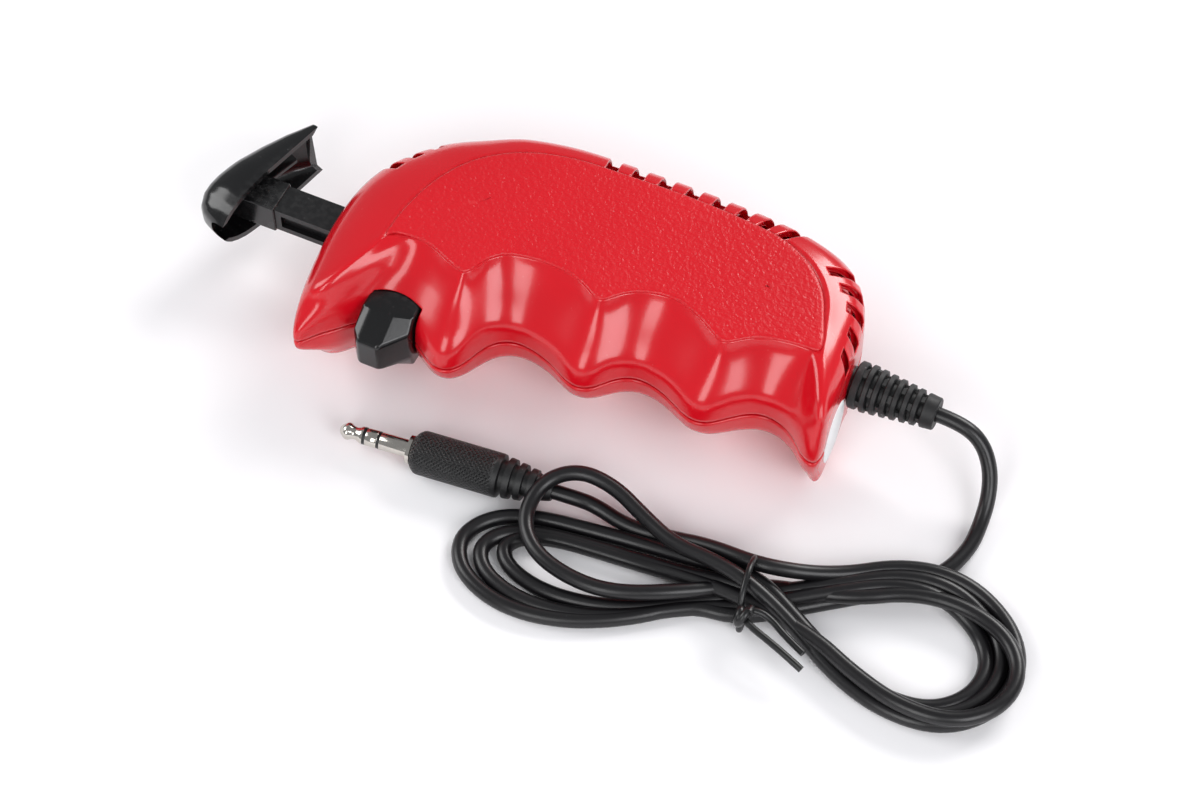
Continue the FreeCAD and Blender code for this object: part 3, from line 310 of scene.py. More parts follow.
def build_grain_group():
    """Leather-like grain: crinkled ridges between rounded cells, at two sizes."""
    tree, start, end = new_group(
        "leather_grain",
        [("Vector", "NodeSocketVector", None), ("Scale", "NodeSocketFloat", 900.0)],
        [("Height", "NodeSocketFloat")],
    )
    warp = tree.nodes.new("ShaderNodeTexNoise")
    warp.inputs["Scale"].default_value = 600.0
    warp.inputs["Detail"].default_value = 2.0
    tree.links.new(start.outputs["Vector"], warp.inputs["Vector"])
    offset = tree.nodes.new("ShaderNodeVectorMath")
    offset.operation = "SCALE"
    offset.inputs["Scale"].default_value = 0.0012
    tree.links.new(warp.outputs["Color"], offset.inputs[0])
    moved = tree.nodes.new("ShaderNodeVectorMath")
    moved.operation = "ADD"
    tree.links.new(start.outputs["Vector"], moved.inputs[0])
    tree.links.new(offset.outputs[0], moved.inputs[1])
    heights = []
    for factor in (1.0, 2.1):
        cells = tree.nodes.new("ShaderNodeTexVoronoi")
        cells.feature = "SMOOTH_F1"
        cells.inputs["Smoothness"].default_value = 0.6
        tree.links.new(moved.outputs[0], cells.inputs["Vector"])
        tree.links.new(math_node(tree, "MULTIPLY", start.outputs["Scale"], factor), cells.inputs["Scale"])
        heights.append(cells.outputs["Distance"])
    total = math_node(tree, "ADD", heights[0], math_node(tree, "MULTIPLY", heights[1], 0.5))
    tree.links.new(total, end.inputs["Height"])
    return tree


GROUP_MAKERS = {
    "moulded_surface": build_moulding_group,
    "edge_wear": build_wear_group,
    "dust_specks": build_dust_group,
    "leather_grain": build_grain_group,
}


def use_group(tree, name, vector, **values):
    """A group node in a material, fed with the surface's coordinates."""
    group = bpy.data.node_groups.get(name) or GROUP_MAKERS[name]()
    node = tree.nodes.new("ShaderNodeGroup")
    node.node_tree = group
    tree.links.new(vector, node.inputs["Vector"])
    for key, value in values.items():
        node.inputs[key].default_value = value
    return node


def blend_colour(tree, mask, base, other):
    """A colour mix by a mask; base may be a socket or a colour."""
    node = tree.nodes.new("ShaderNodeMix")
    node.data_type = "RGBA"
    tree.links.new(mask, node.inputs[0])
    for socket, value in ((node.inputs[6], base), (node.inputs[7], other)):
        if isinstance(value, bpy.types.NodeSocket):
            tree.links.new(value, socket)
        else:
            socket.default_value = (*value, 1.0)
    return node.outputs[2]


def add_bump(tree, shader, height, strength, distance):
    """Feed a height into the shader's normal."""
    bump = tree.nodes.new("ShaderNodeBump")
    bump.inputs["Strength"].default_value = strength
    bump.inputs["Distance"].default_value = distance
    tree.links.new(height, bump.inputs["Height"])
    tree.links.new(bump.outputs[0], shader.inputs["Normal"])


def new_material(name):
    """A material with its tree, its shader and the surface's own coordinates."""
    material = bpy.data.materials.new(name)
    material.use_nodes = True
    tree = material.node_tree
    shader = tree.nodes["Principled BSDF"]
    coords = tree.nodes.new("ShaderNodeTexCoord")
    return material, tree, shader, coords.outputs["Object"]


def moulded_plastic(name, colour, roughness, drift, worn, wear=0.3, dust=0.2, coat=0.0, bump=0.12, grain=None):
    """Moulded plastic with drifting gloss, worn edges, dust and, if asked, leather grain."""
    if name in bpy.data.materials:
        return bpy.data.materials[name]
    material, tree, shader, vector = new_material(name)
    surface = use_group(tree, "moulded_surface", vector, Roughness=roughness, Drift=drift)
    edges = use_group(tree, "edge_wear", vector, Amount=wear)
    specks = use_group(tree, "dust_specks", vector, Amount=dust)
    shade = noise(tree, vector, 30.0, 2.0)
    darker = tuple(c * 0.86 for c in colour)
    colours = blend_colour(tree, shade, darker, colour)
    colours = blend_colour(tree, edges.outputs["Mask"], colours, worn)
    colours = blend_colour(tree, specks.outputs["Mask"], colours, tuple(0.4 * c + 0.3 for c in worn))
    tree.links.new(colours, shader.inputs["Base Color"])
    rubbed = math_node(tree, "MULTIPLY", edges.outputs["Mask"], 0.25)
    rough = math_node(tree, "ADD", surface.outputs["Roughness"], rubbed)
    tree.links.new(rough, shader.inputs["Roughness"])
    shader.inputs["Coat Weight"].default_value = coat
    shader.inputs["Coat Roughness"].default_value = 0.08
    if grain:
        scale, depth = grain
        cells = use_group(tree, "leather_grain", vector, Scale=scale)
        add_bump(tree, shader, cells.outputs["Height"], 0.9, depth)
    else:
        add_bump(tree, shader, surface.outputs["Height"], bump, 0.0004)
    return material


def jacket(name, colour):
    """Soft PVC jacket: satin, with a faintly uneven surface and lint."""
    if name in bpy.data.materials:
        return bpy.data.materials[name]
    material, tree, shader, vector = new_material(name)
    surface = use_group(tree, "moulded_surface", vector, Roughness=0.34, Drift=0.12)
    specks = use_group(tree, "dust_specks", vector, Scale=1100.0, Amount=0.25)
    colours = blend_colour(tree, specks.outputs["Mask"], colour, (0.12, 0.11, 0.12))
    tree.links.new(colours, shader.inputs["Base Color"])
    tree.links.new(surface.outputs["Roughness"], shader.inputs["Roughness"])
    add_bump(tree, shader, surface.outputs["Height"], 0.25, 0.0003)
    return material


def plated_metal(name, colour, roughness=0.16):
    """Plating with tarnish, a drifting gloss and a faintly uneven surface."""
    if name in bpy.data.materials:
        return bpy.data.materials[name]
    material, tree, shader, vector = new_material(name)
    surface = use_group(tree, "moulded_surface", vector, Roughness=roughness, Drift=0.2)
    tarnish = noise(tree, vector, 500.0, 4.0, 0.7)
    dark = tuple(c * 0.62 for c in colour)
    tree.links.new(blend_colour(tree, tarnish, dark, colour), shader.inputs["Base Color"])
    tree.links.new(surface.outputs["Roughness"], shader.inputs["Roughness"])
    shader.inputs["Metallic"].default_value = 1.0
    add_bump(tree, shader, surface.outputs["Height"], 0.25, 0.0002)
    return material


def diamond_plastic(name, colour):
    """Black plastic with a fine diamond pattern that follows the piece's UV map in millimetres."""
    if name in bpy.data.materials:
        return bpy.data.materials[name]
    material, tree, shader, vector = new_material(name)
    uv = tree.nodes.new("ShaderNodeUVMap")
    uv.uv_map = "surface"
    split = tree.nodes.new("ShaderNodeSeparateXYZ")
    tree.links.new(uv.outputs[0], split.inputs[0])
    pitch = 0.95
    ridges = []
    for sign in ("ADD", "SUBTRACT"):
        slant = math_node(tree, sign, split.outputs[0], split.outputs[1])
        ridges.append(math_node(tree, "SINE", math_node(tree, "MULTIPLY", slant, 2 * math.pi / pitch)))
    pattern = math_node(tree, "MAXIMUM", ridges[0], ridges[1])
    off_middle = math_node(tree, "ABSOLUTE", math_node(tree, "SUBTRACT", split.outputs[0], PATTERN_MIDDLE))
    near = ramp(tree, off_middle, PATTERN_HALF + 0.6, PATTERN_HALF - 0.6)
    surface = use_group(tree, "moulded_surface", vector, Roughness=0.45, Drift=0.16)
    specks = use_group(tree, "dust_specks", vector, Scale=1500.0, Amount=0.5)
    colours = blend_colour(tree, specks.outputs["Mask"], colour, (0.16, 0.16, 0.17))
    tree.links.new(colours, shader.inputs["Base Color"])
    tree.links.new(surface.outputs["Roughness"], shader.inputs["Roughness"])
    diamonds = math_node(tree, "MULTIPLY", pattern, near)
    height = math_node(tree, "ADD", diamonds, surface.outputs["Height"])
    add_bump(tree, shader, height, 1.0, 0.00022)
    return material


def paper(name, colour):
    """White label stock: matte, faintly mottled."""
    if name in bpy.data.materials:
        return bpy.data.materials[name]
    material, tree, shader, vector = new_material(name)
    mottled = noise(tree, vector, 800.0, 3.0)
    colours = blend_colour(tree, mottled, tuple(c * 0.9 for c in colour), colour)
    tree.links.new(colours, shader.inputs["Base Color"])
    surface = use_group(tree, "moulded_surface", vector, Roughness=0.5, Drift=0.1)
    tree.links.new(surface.outputs["Roughness"], shader.inputs["Roughness"])
    add_bump(tree, shader, mottled, 0.1, 0.0001)
    return material


def finishes():
    """Every material, by finish."""
    colours = bpy.context.scene.controller_colours
    grip, dark = tuple(colours.grip), tuple(colours.dark)
    rubbed = tuple(1.2 * c for c in dark)
    return {
        "gloss": moulded_plastic(
            "red_gloss", grip, 0.2, 0.05, (0.8, 0.10, 0.10), wear=0.25, dust=0.08, coat=0.2, bump=0.10
        ),
        "grained": moulded_plastic(
            "red_grained", grip, 0.36, 0.1, (0.8, 0.12, 0.12), wear=0.2, dust=0.25, grain=(1150.0, 0.00011)
        ),
        "black": moulded_plastic(
            "black_gloss", dark, 0.2, 0.1, (0.05, 0.05, 0.05), wear=0.3, dust=0.15, coat=0.1
        ),
        "satin": moulded_plastic(
            "black_satin", rubbed, 0.32, 0.08, (0.06, 0.06, 0.06), wear=0.15, dust=0.1, bump=0.05
        ),
        "boot": moulded_plastic("black_boot", rubbed, 0.5, 0.14, (0.06, 0.06, 0.06), wear=0.3, dust=0.5),
        "cord": jacket("cord_jacket", tuple(colours.cord)),
        "barrel": diamond_plastic("barrel_plastic", dark),
        "metal": plated_metal("plug_plating", tuple(colours.metal)),
        "steel": plated_metal("screw_plating", (0.5, 0.5, 0.52), 0.3),
        "brass": plated_metal("contact_brass", (0.75, 0.55, 0.25), 0.3),
        "ceramic": paper("former_ceramic", (0.8, 0.78, 0.72)),
        "paper": paper("label_paper", (0.82, 0.83, 0.84)),
    }


# ---------------------------------------------------------------------------
# Mesh helpers
# ---------------------------------------------------------------------------


def mesh_piece(name, points, faces, material, body, sharp=40.0, uv=None):
    """A finished piece from plan millimetres: welded, outward, smooth but for sharp edges."""
    mesh = bpy.data.meshes.new(name)
    mesh.from_pydata(place(points).tolist(), [], [list(face) for face in faces])
    mesh.update()
    if uv is not None:
        layer = mesh.uv_layers.new(name="surface")
        index = np.empty(len(mesh.loops), dtype=np.int32)
        mesh.loops.foreach_get("vertex_index", index)
        layer.data.foreach_set("uv", uv[index].astype(np.float32).ravel())
    work = bmesh.new()
    work.from_mesh(mesh)
    bmesh.ops.remove_doubles(work, verts=work.verts, dist=2e-7)
    bmesh.ops.dissolve_degenerate(work, edges=work.edges, dist=1e-7)
    bmesh.ops.recalc_face_normals(work, faces=work.faces)
    limit = math.radians(sharp)
    for edge in work.edges:
        edge.smooth = not (edge.is_manifold and edge.calc_face_angle(0.0) > limit)
    for face in work.faces:
        face.smooth = True
    work.to_mesh(mesh)
    work.free()
    mesh.materials.append(material)
    piece = bpy.data.objects.new(name, mesh)
    bpy.context.scene.collection.objects.link(piece)
    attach(piece, body)
    return piece


def grid_faces(rows, columns, wrap_rows=False, wrap_columns=False):
    """Quads of a grid, row by row; either direction may close on itself."""
    last_row = rows if wrap_rows else rows - 1
    last_column = columns if wrap_columns else columns - 1
    i, j = np.meshgrid(np.arange(last_row), np.arange(last_column), indexing="ij")
    i2, j2 = (i + 1) % rows, (j + 1) % columns
    quads = np.stack([i * columns + j, i2 * columns + j, i2 * columns + j2, i * columns + j2], axis=-1)
    return quads.reshape(-1, 4)


def turned(name, profile, origin, degrees, material, body, slot, sides=64, sharp=40.0, uv=False):
    """A turned piece: each (x, r) of the profile is a circle of radius r at x along the axis."""
    profile = np.asarray(profile, dtype=float)
    angle = np.linspace(0.0, 2 * np.pi, sides + (1 if uv else 0), endpoint=bool(uv))
    x = np.repeat(profile[:, 0], len(angle)).reshape(len(profile), -1)
    r = np.repeat(profile[:, 1], len(angle)).reshape(len(profile), -1)
    local = np.stack([x, -r * np.sin(angle), r * np.cos(angle)], axis=-1)
    turn = np.radians(degrees)
    along = np.array([np.cos(turn), np.sin(turn), 0.0])
    side = np.array([-np.sin(turn), np.cos(turn), 0.0])
    up = np.cross(along, side)
    points = np.asarray(origin) + local[..., :1] * along + local[..., 1:2] * side + local[..., 2:] * up
    faces = grid_faces(len(profile), len(angle), wrap_columns=not uv)
    coords = None
    if uv:
        size = float(profile[:, 1].max())
        coords = np.stack([x, np.broadcast_to(angle * size, x.shape)], axis=-1).reshape(-1, 2)
    return mesh_piece(name, points.reshape(-1, 3), faces, material, body, sharp=sharp, uv=coords)


def block(corners, low, high):
    """A prism's points and faces from a plan polygon at two heights."""
    n = len(corners)
    bottom = np.column_stack([corners, np.full(n, low)])
    top = np.column_stack([corners, np.full(n, high)])
    faces = [list(range(n))[::-1], list(range(n, 2 * n))]
    faces += [[k, (k + 1) % n, n + (k + 1) % n, n + k] for k in range(n)]
    return np.vstack([bottom, top]), faces


def bevel(piece, width, segments=3, angle=25.0):
    """Round a piece's edges that turn by more than the angle."""
    modifier = piece.modifiers.new("edges", "BEVEL")
    modifier.width = width
    modifier.segments = segments
    modifier.limit_method = "ANGLE"
    modifier.angle_limit = math.radians(angle)
    modifier.harden_normals = True


def repaint(node_name, material):
    """Give a CAD node one material."""
    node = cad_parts[node_name]
    node.data.materials.clear()
    node.data.materials.append(material)


# ---------------------------------------------------------------------------
# Grip
# ---------------------------------------------------------------------------


def blur_kernel(sigma, reach):
    """Gaussian weights out to reach samples each side, adding up to one."""
    kernel = np.exp(-0.5 * (np.arange(-reach, reach + 1) / sigma) ** 2)
    return kernel / kernel.sum()


def smooth_closed(values, sigma):
    """A closed row of values, blurred by a Gaussian of sigma samples."""
    reach = int(4 * sigma) + 1
    longer = np.concatenate([values[-reach:], values, values[:reach]])
    return np.convolve(longer, blur_kernel(sigma, reach), mode="valid")


def closed_cubic(knots, values, period, where):
    """The periodic cubic through values at knots, from its second derivatives."""
    n = len(values)
    steps = np.diff(np.append(knots, knots[0] + period))
    matrix = np.zeros((n, n))
    right = np.zeros(n)
    after = np.roll(values, -1)
    slope = (after - values) / steps
    for k in range(n):
        before = (k - 1) % n
        matrix[k, before] += steps[before]
        matrix[k, k] += 2 * (steps[before] + steps[k])
        matrix[k, (k + 1) % n] += steps[k]
        right[k] = 6 * (slope[k] - slope[before])
    bend = np.linalg.solve(matrix, right)
    span = np.clip(np.searchsorted(knots, where, side="right") - 1, 0, n - 1)
    size = steps[span]
    local = (where - knots[span]) / size
    a, b = values[span], after[span]
    ma, mb = bend[span], np.roll(bend, -1)[span]
    return (
        a * (1 - local) + b * local
        + size**2 / 6 * ((1 - local) ** 3 - (1 - local)) * ma
        + size**2 / 6 * (local**3 - local) * mb
    )


def grip_rail():
    """Dense rails round the grip: outline and panel edge, how the wall rises, and the way round.

    Knots are chord lengths of the outline; each rail is a periodic cubic, then
    blurred a little so that reflections run evenly.
    """
    outline = STATIONS[:, :2]
    chord = np.linalg.norm(np.roll(outline, -1, axis=0) - outline, axis=1)
    knots = np.concatenate([[0.0], np.cumsum(chord)[:-1]])
    period = float(chord.sum())
    count = int(period / RAIL_STEP)
    where = np.arange(count) * period / count
    rails = np.column_stack([closed_cubic(knots, STATIONS[:, c], period, where) for c in range(4)])
    for c, sigma in enumerate((4.0, 4.0, 3.0, 3.0)):
        rails[:, c] = smooth_closed(rails[:, c], sigma)
    round_knots = np.append(knots, period)
    kinds = np.column_stack([
        np.interp(where, round_knots, np.append(STATIONS[:, c], STATIONS[0, c])) for c in (4, 5, 6)
    ])
    for c in range(3):
        kinds[:, c] = smooth_closed(kinds[:, c], 5.0)
    return where, rails, kinds, period


def wall_tables():
    """Share of the way in against share of the rise, rounded from straight pieces."""
    fine = np.linspace(0.0, 1.0, 401)
    pad = 120
    rows = []
    for row, sigma in zip(WALLS, (22.0, 12.0, 26.0)):
        straight = np.interp(fine, LEVELS, row)
        # the row goes on past both ends, turned about them, so that they stay put
        longer = np.concatenate([-straight[pad:0:-1], straight, 2 - straight[-2:-pad - 2:-1]])
        soft = np.convolve(longer, blur_kernel(sigma, int(4 * sigma)), mode="same")[pad:-pad]
        rows.append((soft - soft[0]) / (soft[-1] - soft[0]))
    return fine, np.array(rows)


def openings(where, rails):
    """Openings through the skin: from and to round the outline, then from and to up the half."""
    spine = (rails[:, 1] > 50) & (rails[:, 0] > 25) & (rails[:, 0] < 90)
    front = (rails[:, 1] < 14) & (rails[:, 0] > 6) & (rails[:, 0] < 24)
    rod_end = (rails[:, 0] < 0) & (rails[:, 1] > 15)

    def along(mask, axis, value):
        order = np.argsort(rails[mask, axis])
        return float(np.interp(value, rails[mask, axis][order], where[mask][order]))

    rows = []
    for n in range(SPINE_VENTS):
        x = SPINE_VENT_FIRST + SPINE_VENT_PITCH * n
        rows.append((along(spine, 0, x + SPINE_VENT_HALF), along(spine, 0, x - SPINE_VENT_HALF), 0.60, 1.01))
    for u, top in END_VENTS:
        rows.append((u - 1.25, u + 1.25, 0.56, top))
    for u in FRONT_VENTS:
        rows.append((u - 1.15, u + 1.15, 0.44, 0.76))
    for mask, axis, (start, stop, half_height) in ((front, 0, BUTTON_WINDOW), (rod_end, 1, ROD_WINDOW)):
        rows.append((along(mask, axis, start), along(mask, axis, stop), -0.1, half_height / HALF))
    return sorted((min(a, b), max(a, b), c, d) for a, b, c, d in rows)


def grid_lines(holes, period):
    """Where the skin's grid lines run round the outline and up the half, closer at openings."""
    steps = np.array([0.0, 0.08, 0.2, 0.42])
    u = [np.arange(0.0, period, 0.62)]
    t = [np.linspace(0.0, 0.30, 9), np.linspace(0.32, 1.0, 34)]
    for low, high, bottom, top in holes:
        u += [low - steps, high + steps, np.linspace(low, high, 4)]
        t += [bottom - steps / HALF, top + steps / HALF]
    u = np.unique(np.round(np.mod(np.concatenate(u), period), 3))
    t = np.unique(np.round(np.concatenate(t), 4))
    t = t[(t >= 0.0) & (t <= 1.0)]
    return u[np.concatenate([[True], np.diff(u) > 0.03])], t[np.concatenate([[True], np.diff(t) > 0.003])]


def resample(u, where, values, period):
    """Columns of values known round the outline, read at other places on it."""
    return np.column_stack([np.interp(u, where, column, period=period) for column in values.T])


def blurred_plan(where, rails, share, period, t):
    """The skin's plan at every height, blurred round the outline, more so half way up and at the tip."""
    dense = rails[:, None, :2] + (rails[:, None, 2:] - rails[:, None, :2]) * share[..., None]
    waves = np.fft.rfftfreq(len(where), period / len(where))
    gap = np.abs((where + period / 2) % period - period / 2)
    near = np.exp(-((gap / TIP_REACH) ** 2))[:, None]
    blur, wide = (
        np.exp(-2 * (np.pi * waves[:, None] * (0.2 + width * np.sin(np.pi * t) ** power)[None, :]) ** 2)
        for width, power in ((2.2, 1.5), (5.5, 2.5))
    )
    plan = np.empty(dense.shape)
    for c in range(2):
        bands = np.fft.rfft(dense[..., c], axis=0)
        soft, softer = (np.fft.irfft(bands * kept, n=len(where), axis=0) for kept in (blur, wide))
        plan[..., c] = soft + (softer - soft) * near
    return plan


def rounded_edges(u, t, rise, holes, edge):
    """How far the skin sinks at the edges of openings and at the lip along the parting line."""
    sink = np.zeros_like(rise)
    for low, high, bottom, top in holes:
        du = np.maximum(np.maximum(low - u, u - high), 0.0)[:, None]
        dv = np.maximum(np.maximum(bottom - t, t - top), 0.0)[None, :] * HALF
        depth = np.clip(edge - np.hypot(du, dv), 0.0, edge)
        sink = np.maximum(sink, edge - np.sqrt(np.maximum(edge**2 - depth**2, 0.0)))
    lip = np.clip(LIP - rise, 0.0, LIP)
    return np.maximum(sink, LIP - np.sqrt(np.maximum(LIP**2 - lip**2, 0.0)))


def skin_points(side, edge):
    """The skin's grid and which of its faces are kept.

    A point is the outline, moved towards the panel's edge by a share that
    grows with the rise, and raised by the rise.
    """
    where, rails, kinds, period = grip_rail()
    holes = openings(where, rails)
    u, t = grid_lines(holes, period)
    fine, tables = wall_tables()
    share = sum(kinds[:, c][:, None] * np.interp(t, fine, tables[c])[None, :] for c in range(3))
    share = share / kinds.sum(axis=1)[:, None]
    dense = blurred_plan(where, rails, share, period, t)
    plan = np.stack([resample(u, where, dense[..., c], period) for c in range(2)], axis=-1)
    share = resample(u, where, share, period)
    rail = resample(u, where, rails, period)
    inward = rail[:, None, 2:] - rail[:, None, :2]
    length = np.linalg.norm(inward, axis=2, keepdims=True)
    rise = np.broadcast_to(t * HALF, share.shape).copy()
    # keep the sides of the button's window upright
    window = np.exp(-((rail[:, 0] - 15.4) / 8.5) ** 4) * (rail[:, 1] < 16)
    lean = share * (1 - np.clip(share / 0.6, 0, 1)) * window[:, None]
    plan[..., 0] -= inward[..., 0] * lean
    sink = rounded_edges(u, t, rise, holes, edge)
    plan += inward / length * sink[..., None]
    rise -= sink * np.broadcast_to(t, rise.shape) ** 2
    rise = np.maximum(rise, PARTING_GAP)
    points = np.concatenate([plan, (MID + side * rise)[..., None]], axis=-1)
    centres_u = np.append((u[:-1] + u[1:]) / 2, (u[-1] + period + u[0]) / 2 % period)
    centres_t = (t[:-1] + t[1:]) / 2
    keep = np.ones((len(u), len(t) - 1), dtype=bool)
    for low, high, bottom, top in holes:
        across = (centres_u > low) & (centres_u < high)
        up = (centres_t > bottom) & (centres_t < top)
        keep &= ~(across[:, None] & up[None, :])
    return points, keep


def liner_points(points, side, gap):
    """The skin set inward by a gap, without openings, and kept on the spine's side only."""
    level = np.abs(points[..., 2:] - MID) / HALF
    towards = np.array([45.0, 36.0]) - points[..., :2]
    towards /= np.linalg.norm(towards, axis=2, keepdims=True)
    height = MID + side * HALF * (level - gap * 0.8 / HALF * level**2)
    points = np.concatenate([points[..., :2] + towards * gap, height], axis=-1)
    back = (points[:, 0, 1] > 33.5) & (points[:, 0, 0] > -10)
    keep = np.repeat((back & np.roll(back, -1))[:, None], points.shape[1] - 1, axis=1)
    return points, keep


def build_skin(name, side, material, shape, liner=0.0):
    """One half's outer skin with its openings, or the liner behind its vents, walled by a Solidify."""
    points, keep = skin_points(side, shape.edge * 1000)
    if liner:
        points, keep = liner_points(points, side, liner)
    rows, columns = points.shape[:2]
    faces = grid_faces(rows, columns, wrap_rows=True)[keep.ravel()]
    if side < 0:
        faces = faces[:, ::-1]
    mesh = bpy.data.meshes.new(name)
    mesh.from_pydata(place(points.reshape(-1, 3)).tolist(), [], faces.tolist())
    work = bmesh.new()
    work.from_mesh(mesh)
    loose = [v for v in work.verts if not v.link_faces]
    bmesh.ops.delete(work, geom=loose, context="VERTS")
    for face in work.faces:
        face.smooth = True
    work.to_mesh(mesh)
    work.free()
    mesh.materials.append(material)
    piece = bpy.data.objects.new(name, mesh)
    bpy.context.scene.collection.objects.link(piece)
    wall = piece.modifiers.new("wall", "SOLIDIFY")
    wall.thickness = shape.wall
    wall.offset = -1.0
    wall.use_even_offset = False
    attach(piece, "housing")
    return piece


def build_panel(name, side, material):
    """The raised panel: its edge steps up from the skin, then rings close on a line along its middle."""
    where, rails, _, period = grip_rail()
    u = np.arange(0.0, period, 0.5)
    edge = resample(u, where, rails[:, 2:], period)
    middle = np.column_stack([np.clip(edge[:, 0], 24.0, 80.0), np.interp(edge[:, 0], [10, 95], [37.0, 40.0])])
    inward = middle - edge
    length = np.linalg.norm(inward, axis=1, keepdims=True)

    def ring(plan, rise):
        return np.column_stack([plan, np.full(len(u), MID + side * rise)])

    rings = [ring(edge + inward * share, PANEL_BASE) for share in (1.0, 0.5)]
    rings += [ring(edge + inward / length * inset, rise) for inset, rise in PANEL_EDGE]
    base = edge + inward / length * PANEL_EDGE[-1][0]
    rings += [ring(base + (middle - base) * share, PANEL_TOP) for share in (0.15, 0.35, 0.6, 0.85, 1.0)]
    grid = np.stack(rings)
    faces = grid_faces(len(grid), len(u), wrap_columns=True)
    return mesh_piece(name, grid.reshape(-1, 3), faces, material, "housing", sharp=50.0)


class BuildGrip(bpy.types.Operator):
    """Both moulded halves with vents, button window and rod opening, and their raised panels"""

    bl_idname = "controller.build_grip"
    bl_label = "Grip shells"

    def execute(self, context):
        shape = context.scene.controller_shape
        looks = finishes()
        for half, side in (("upper", 1), ("lower", -1)):
            skin = build_skin(f"{half}_skin", side, looks["gloss"], shape)
            build_panel(f"{half}_panel", side, looks["grained"])
            build_skin(f"{half}_liner", side, looks["gloss"], shape, liner=LINER_GAP)
            # the lower half closes over the screws
            screws = [f"shell_screw_{n}" for n in range(1, 6)] if side < 0 else []
            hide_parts(f"{half}_shell", *screws)
        return {"FINISHED"}


# ---------------------------------------------------------------------------
# Plunger and button
# ---------------------------------------------------------------------------

CAP_RIM = ((-24.9, 17.4), (-18.0, 44.6))
CAP_HALF = 6.9
# Along the rim line: shares of its length, then depths behind it or shares of the half width
CAP_DEPTHS = (
    (0, .02, .06, .137, .21, .29, .38, .474, .656, .827, .95, 1.0),
    (3.3, 6.0, 7.6, 8.9, 9.25, 9.3, 9.05, 8.6, 7.2, 5.4, 3.5, 2.6),
)
CAP_WIDTHS = (
    (0, .02, .06, .12, .2, .3, .45, 1.0),
    (.30, .42, .58, .73, .86, .94, 1.0, .97),
)
CAP_WALL = 1.25
# Name, plan, half height and rounding of the blocks behind the cap
CAP_BLOCKS = (
    ("cap_stem", ((-29.6, 24.5), (-17.5, 24.5), (-17.5, 31.9), (-27.2, 31.9)), 3.4, 0.00035),
    ("cap_rib", ((-28.6, 31.6), (-23.4, 31.6), (-20.6, 39.8), (-22.4, 40.6)), 0.55, 0.0002),
)


def cap_section(share, angle, shrink):
    """A point of the cap's skin.

    share runs along the rim line from the deep end to the thin end, angle
    across it from one rim to the other.  Depth behind the rim is a rounded
    hump that peaks near the deep end; half width is rounded at that end and
    square at the other; across, the skin is a superellipse arch.
    """
    length = math.dist(*CAP_RIM)
    depth = np.interp(share, *CAP_DEPTHS)
    half = CAP_HALF * np.interp(share, *CAP_WIDTHS)
    depth = np.maximum(depth - shrink, 0.05)
    half = np.maximum(half - shrink, 0.3)
    power = 0.68
    rise = np.sign(np.sin(angle)) * np.abs(np.sin(angle)) ** power * depth
    across = np.sign(np.cos(angle)) * np.abs(np.cos(angle)) ** power * half
    run = share * length
    return run, rise, across


def cap_points():
    """Outer skin from rim to rim, then the inner skin back, for each station along the rim."""
    shares = np.unique(np.concatenate([np.linspace(0, 0.2, 18), np.linspace(0.2, 1.0, 30)]))
    angles = np.linspace(0.0, np.pi, 29)
    start, end = (np.array(p) for p in CAP_RIM)
    length = math.dist(*CAP_RIM)
    along = (end - start) / length
    back = np.array([-along[1], along[0]])
    rows = []
    for share in shares:
        run, rise, across = cap_section(share, angles, 0.0)
        outer = start + along * run + back * rise[:, None]
        outer = np.column_stack([outer, MID + across])
        inside = 0.045 + share * 0.9
        run_in, rise_in, across_in = cap_section(inside, angles, CAP_WALL)
        inner = start + along * run_in + back * rise_in[:, None]
        inner = np.column_stack([inner, MID + across_in])
        rows.append(np.vstack([outer, inner[::-1]]))
    return np.array(rows)


class BuildPlunger(bpy.types.Operator):
    """The hollow thumb cap with its stem and ribs; the rod keeps its CAD shape"""

    bl_idname = "controller.build_plunger"
    bl_label = "Thumb plunger"

    def execute(self, context):
        looks = finishes()
        grid = cap_points()
        rows, columns = grid.shape[:2]
        faces = [list(f) for f in grid_faces(rows, columns, wrap_columns=True)]
        faces.append(list(range(columns)))
        faces.append(list(range((rows - 1) * columns, rows * columns))[::-1])
        points, black = grid.reshape(-1, 3), looks["black"]
        cap = mesh_piece("cap_skin", points, faces, black, "plunger", sharp=38.0)
        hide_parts("thumb_cap")
        for name, plan, half, rounding in CAP_BLOCKS:
            points, faces = block(np.array(plan), MID - half, MID + half)
            bevel(mesh_piece(name, points, faces, black, "plunger"), rounding)
        repaint("plunger_rod", looks["satin"])
        return {"FINISHED"}


class BuildButton(bpy.types.Operator):
    """The faceted push button in the first finger groove"""

    bl_idname = "controller.build_button"
    bl_label = "Push button"

    def execute(self, context):
        looks = finishes()
        left, right, nose, back, half = 10.2, 20.6, 3.0, 19.0, 6.8
        corners = 6
        rings = []
        for rise, front in ((-half, 5.0), (-half + 3.6, 0.0), (half - 3.0, 0.0), (half, 6.6)):
            y = nose + front
            plan = [
                (left, back), (left, max(nose + 2.4, y)), (left + 1.8, y), (left + 6.2, y),
                (right, max(nose + 5.4, y + 1.2)), (right, back),
            ]
            rings.append(np.column_stack([np.array(plan), np.full(corners, MID + rise)]))
        points = np.vstack(rings)
        last = corners * (len(rings) - 1)
        faces = [list(range(corners))[::-1], list(range(last, last + corners))]
        for low in range(0, last, corners):
            high = low + corners
            for n in range(corners):
                m = (n + 1) % corners
                faces.append([low + n, low + m, high + m, high + n])
        button = mesh_piece("button_cap", points, faces, looks["black"], "button", sharp=20.0)
        bevel(button, 0.0006, 3, 12.0)
        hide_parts("push_button")
        return {"FINISHED"}


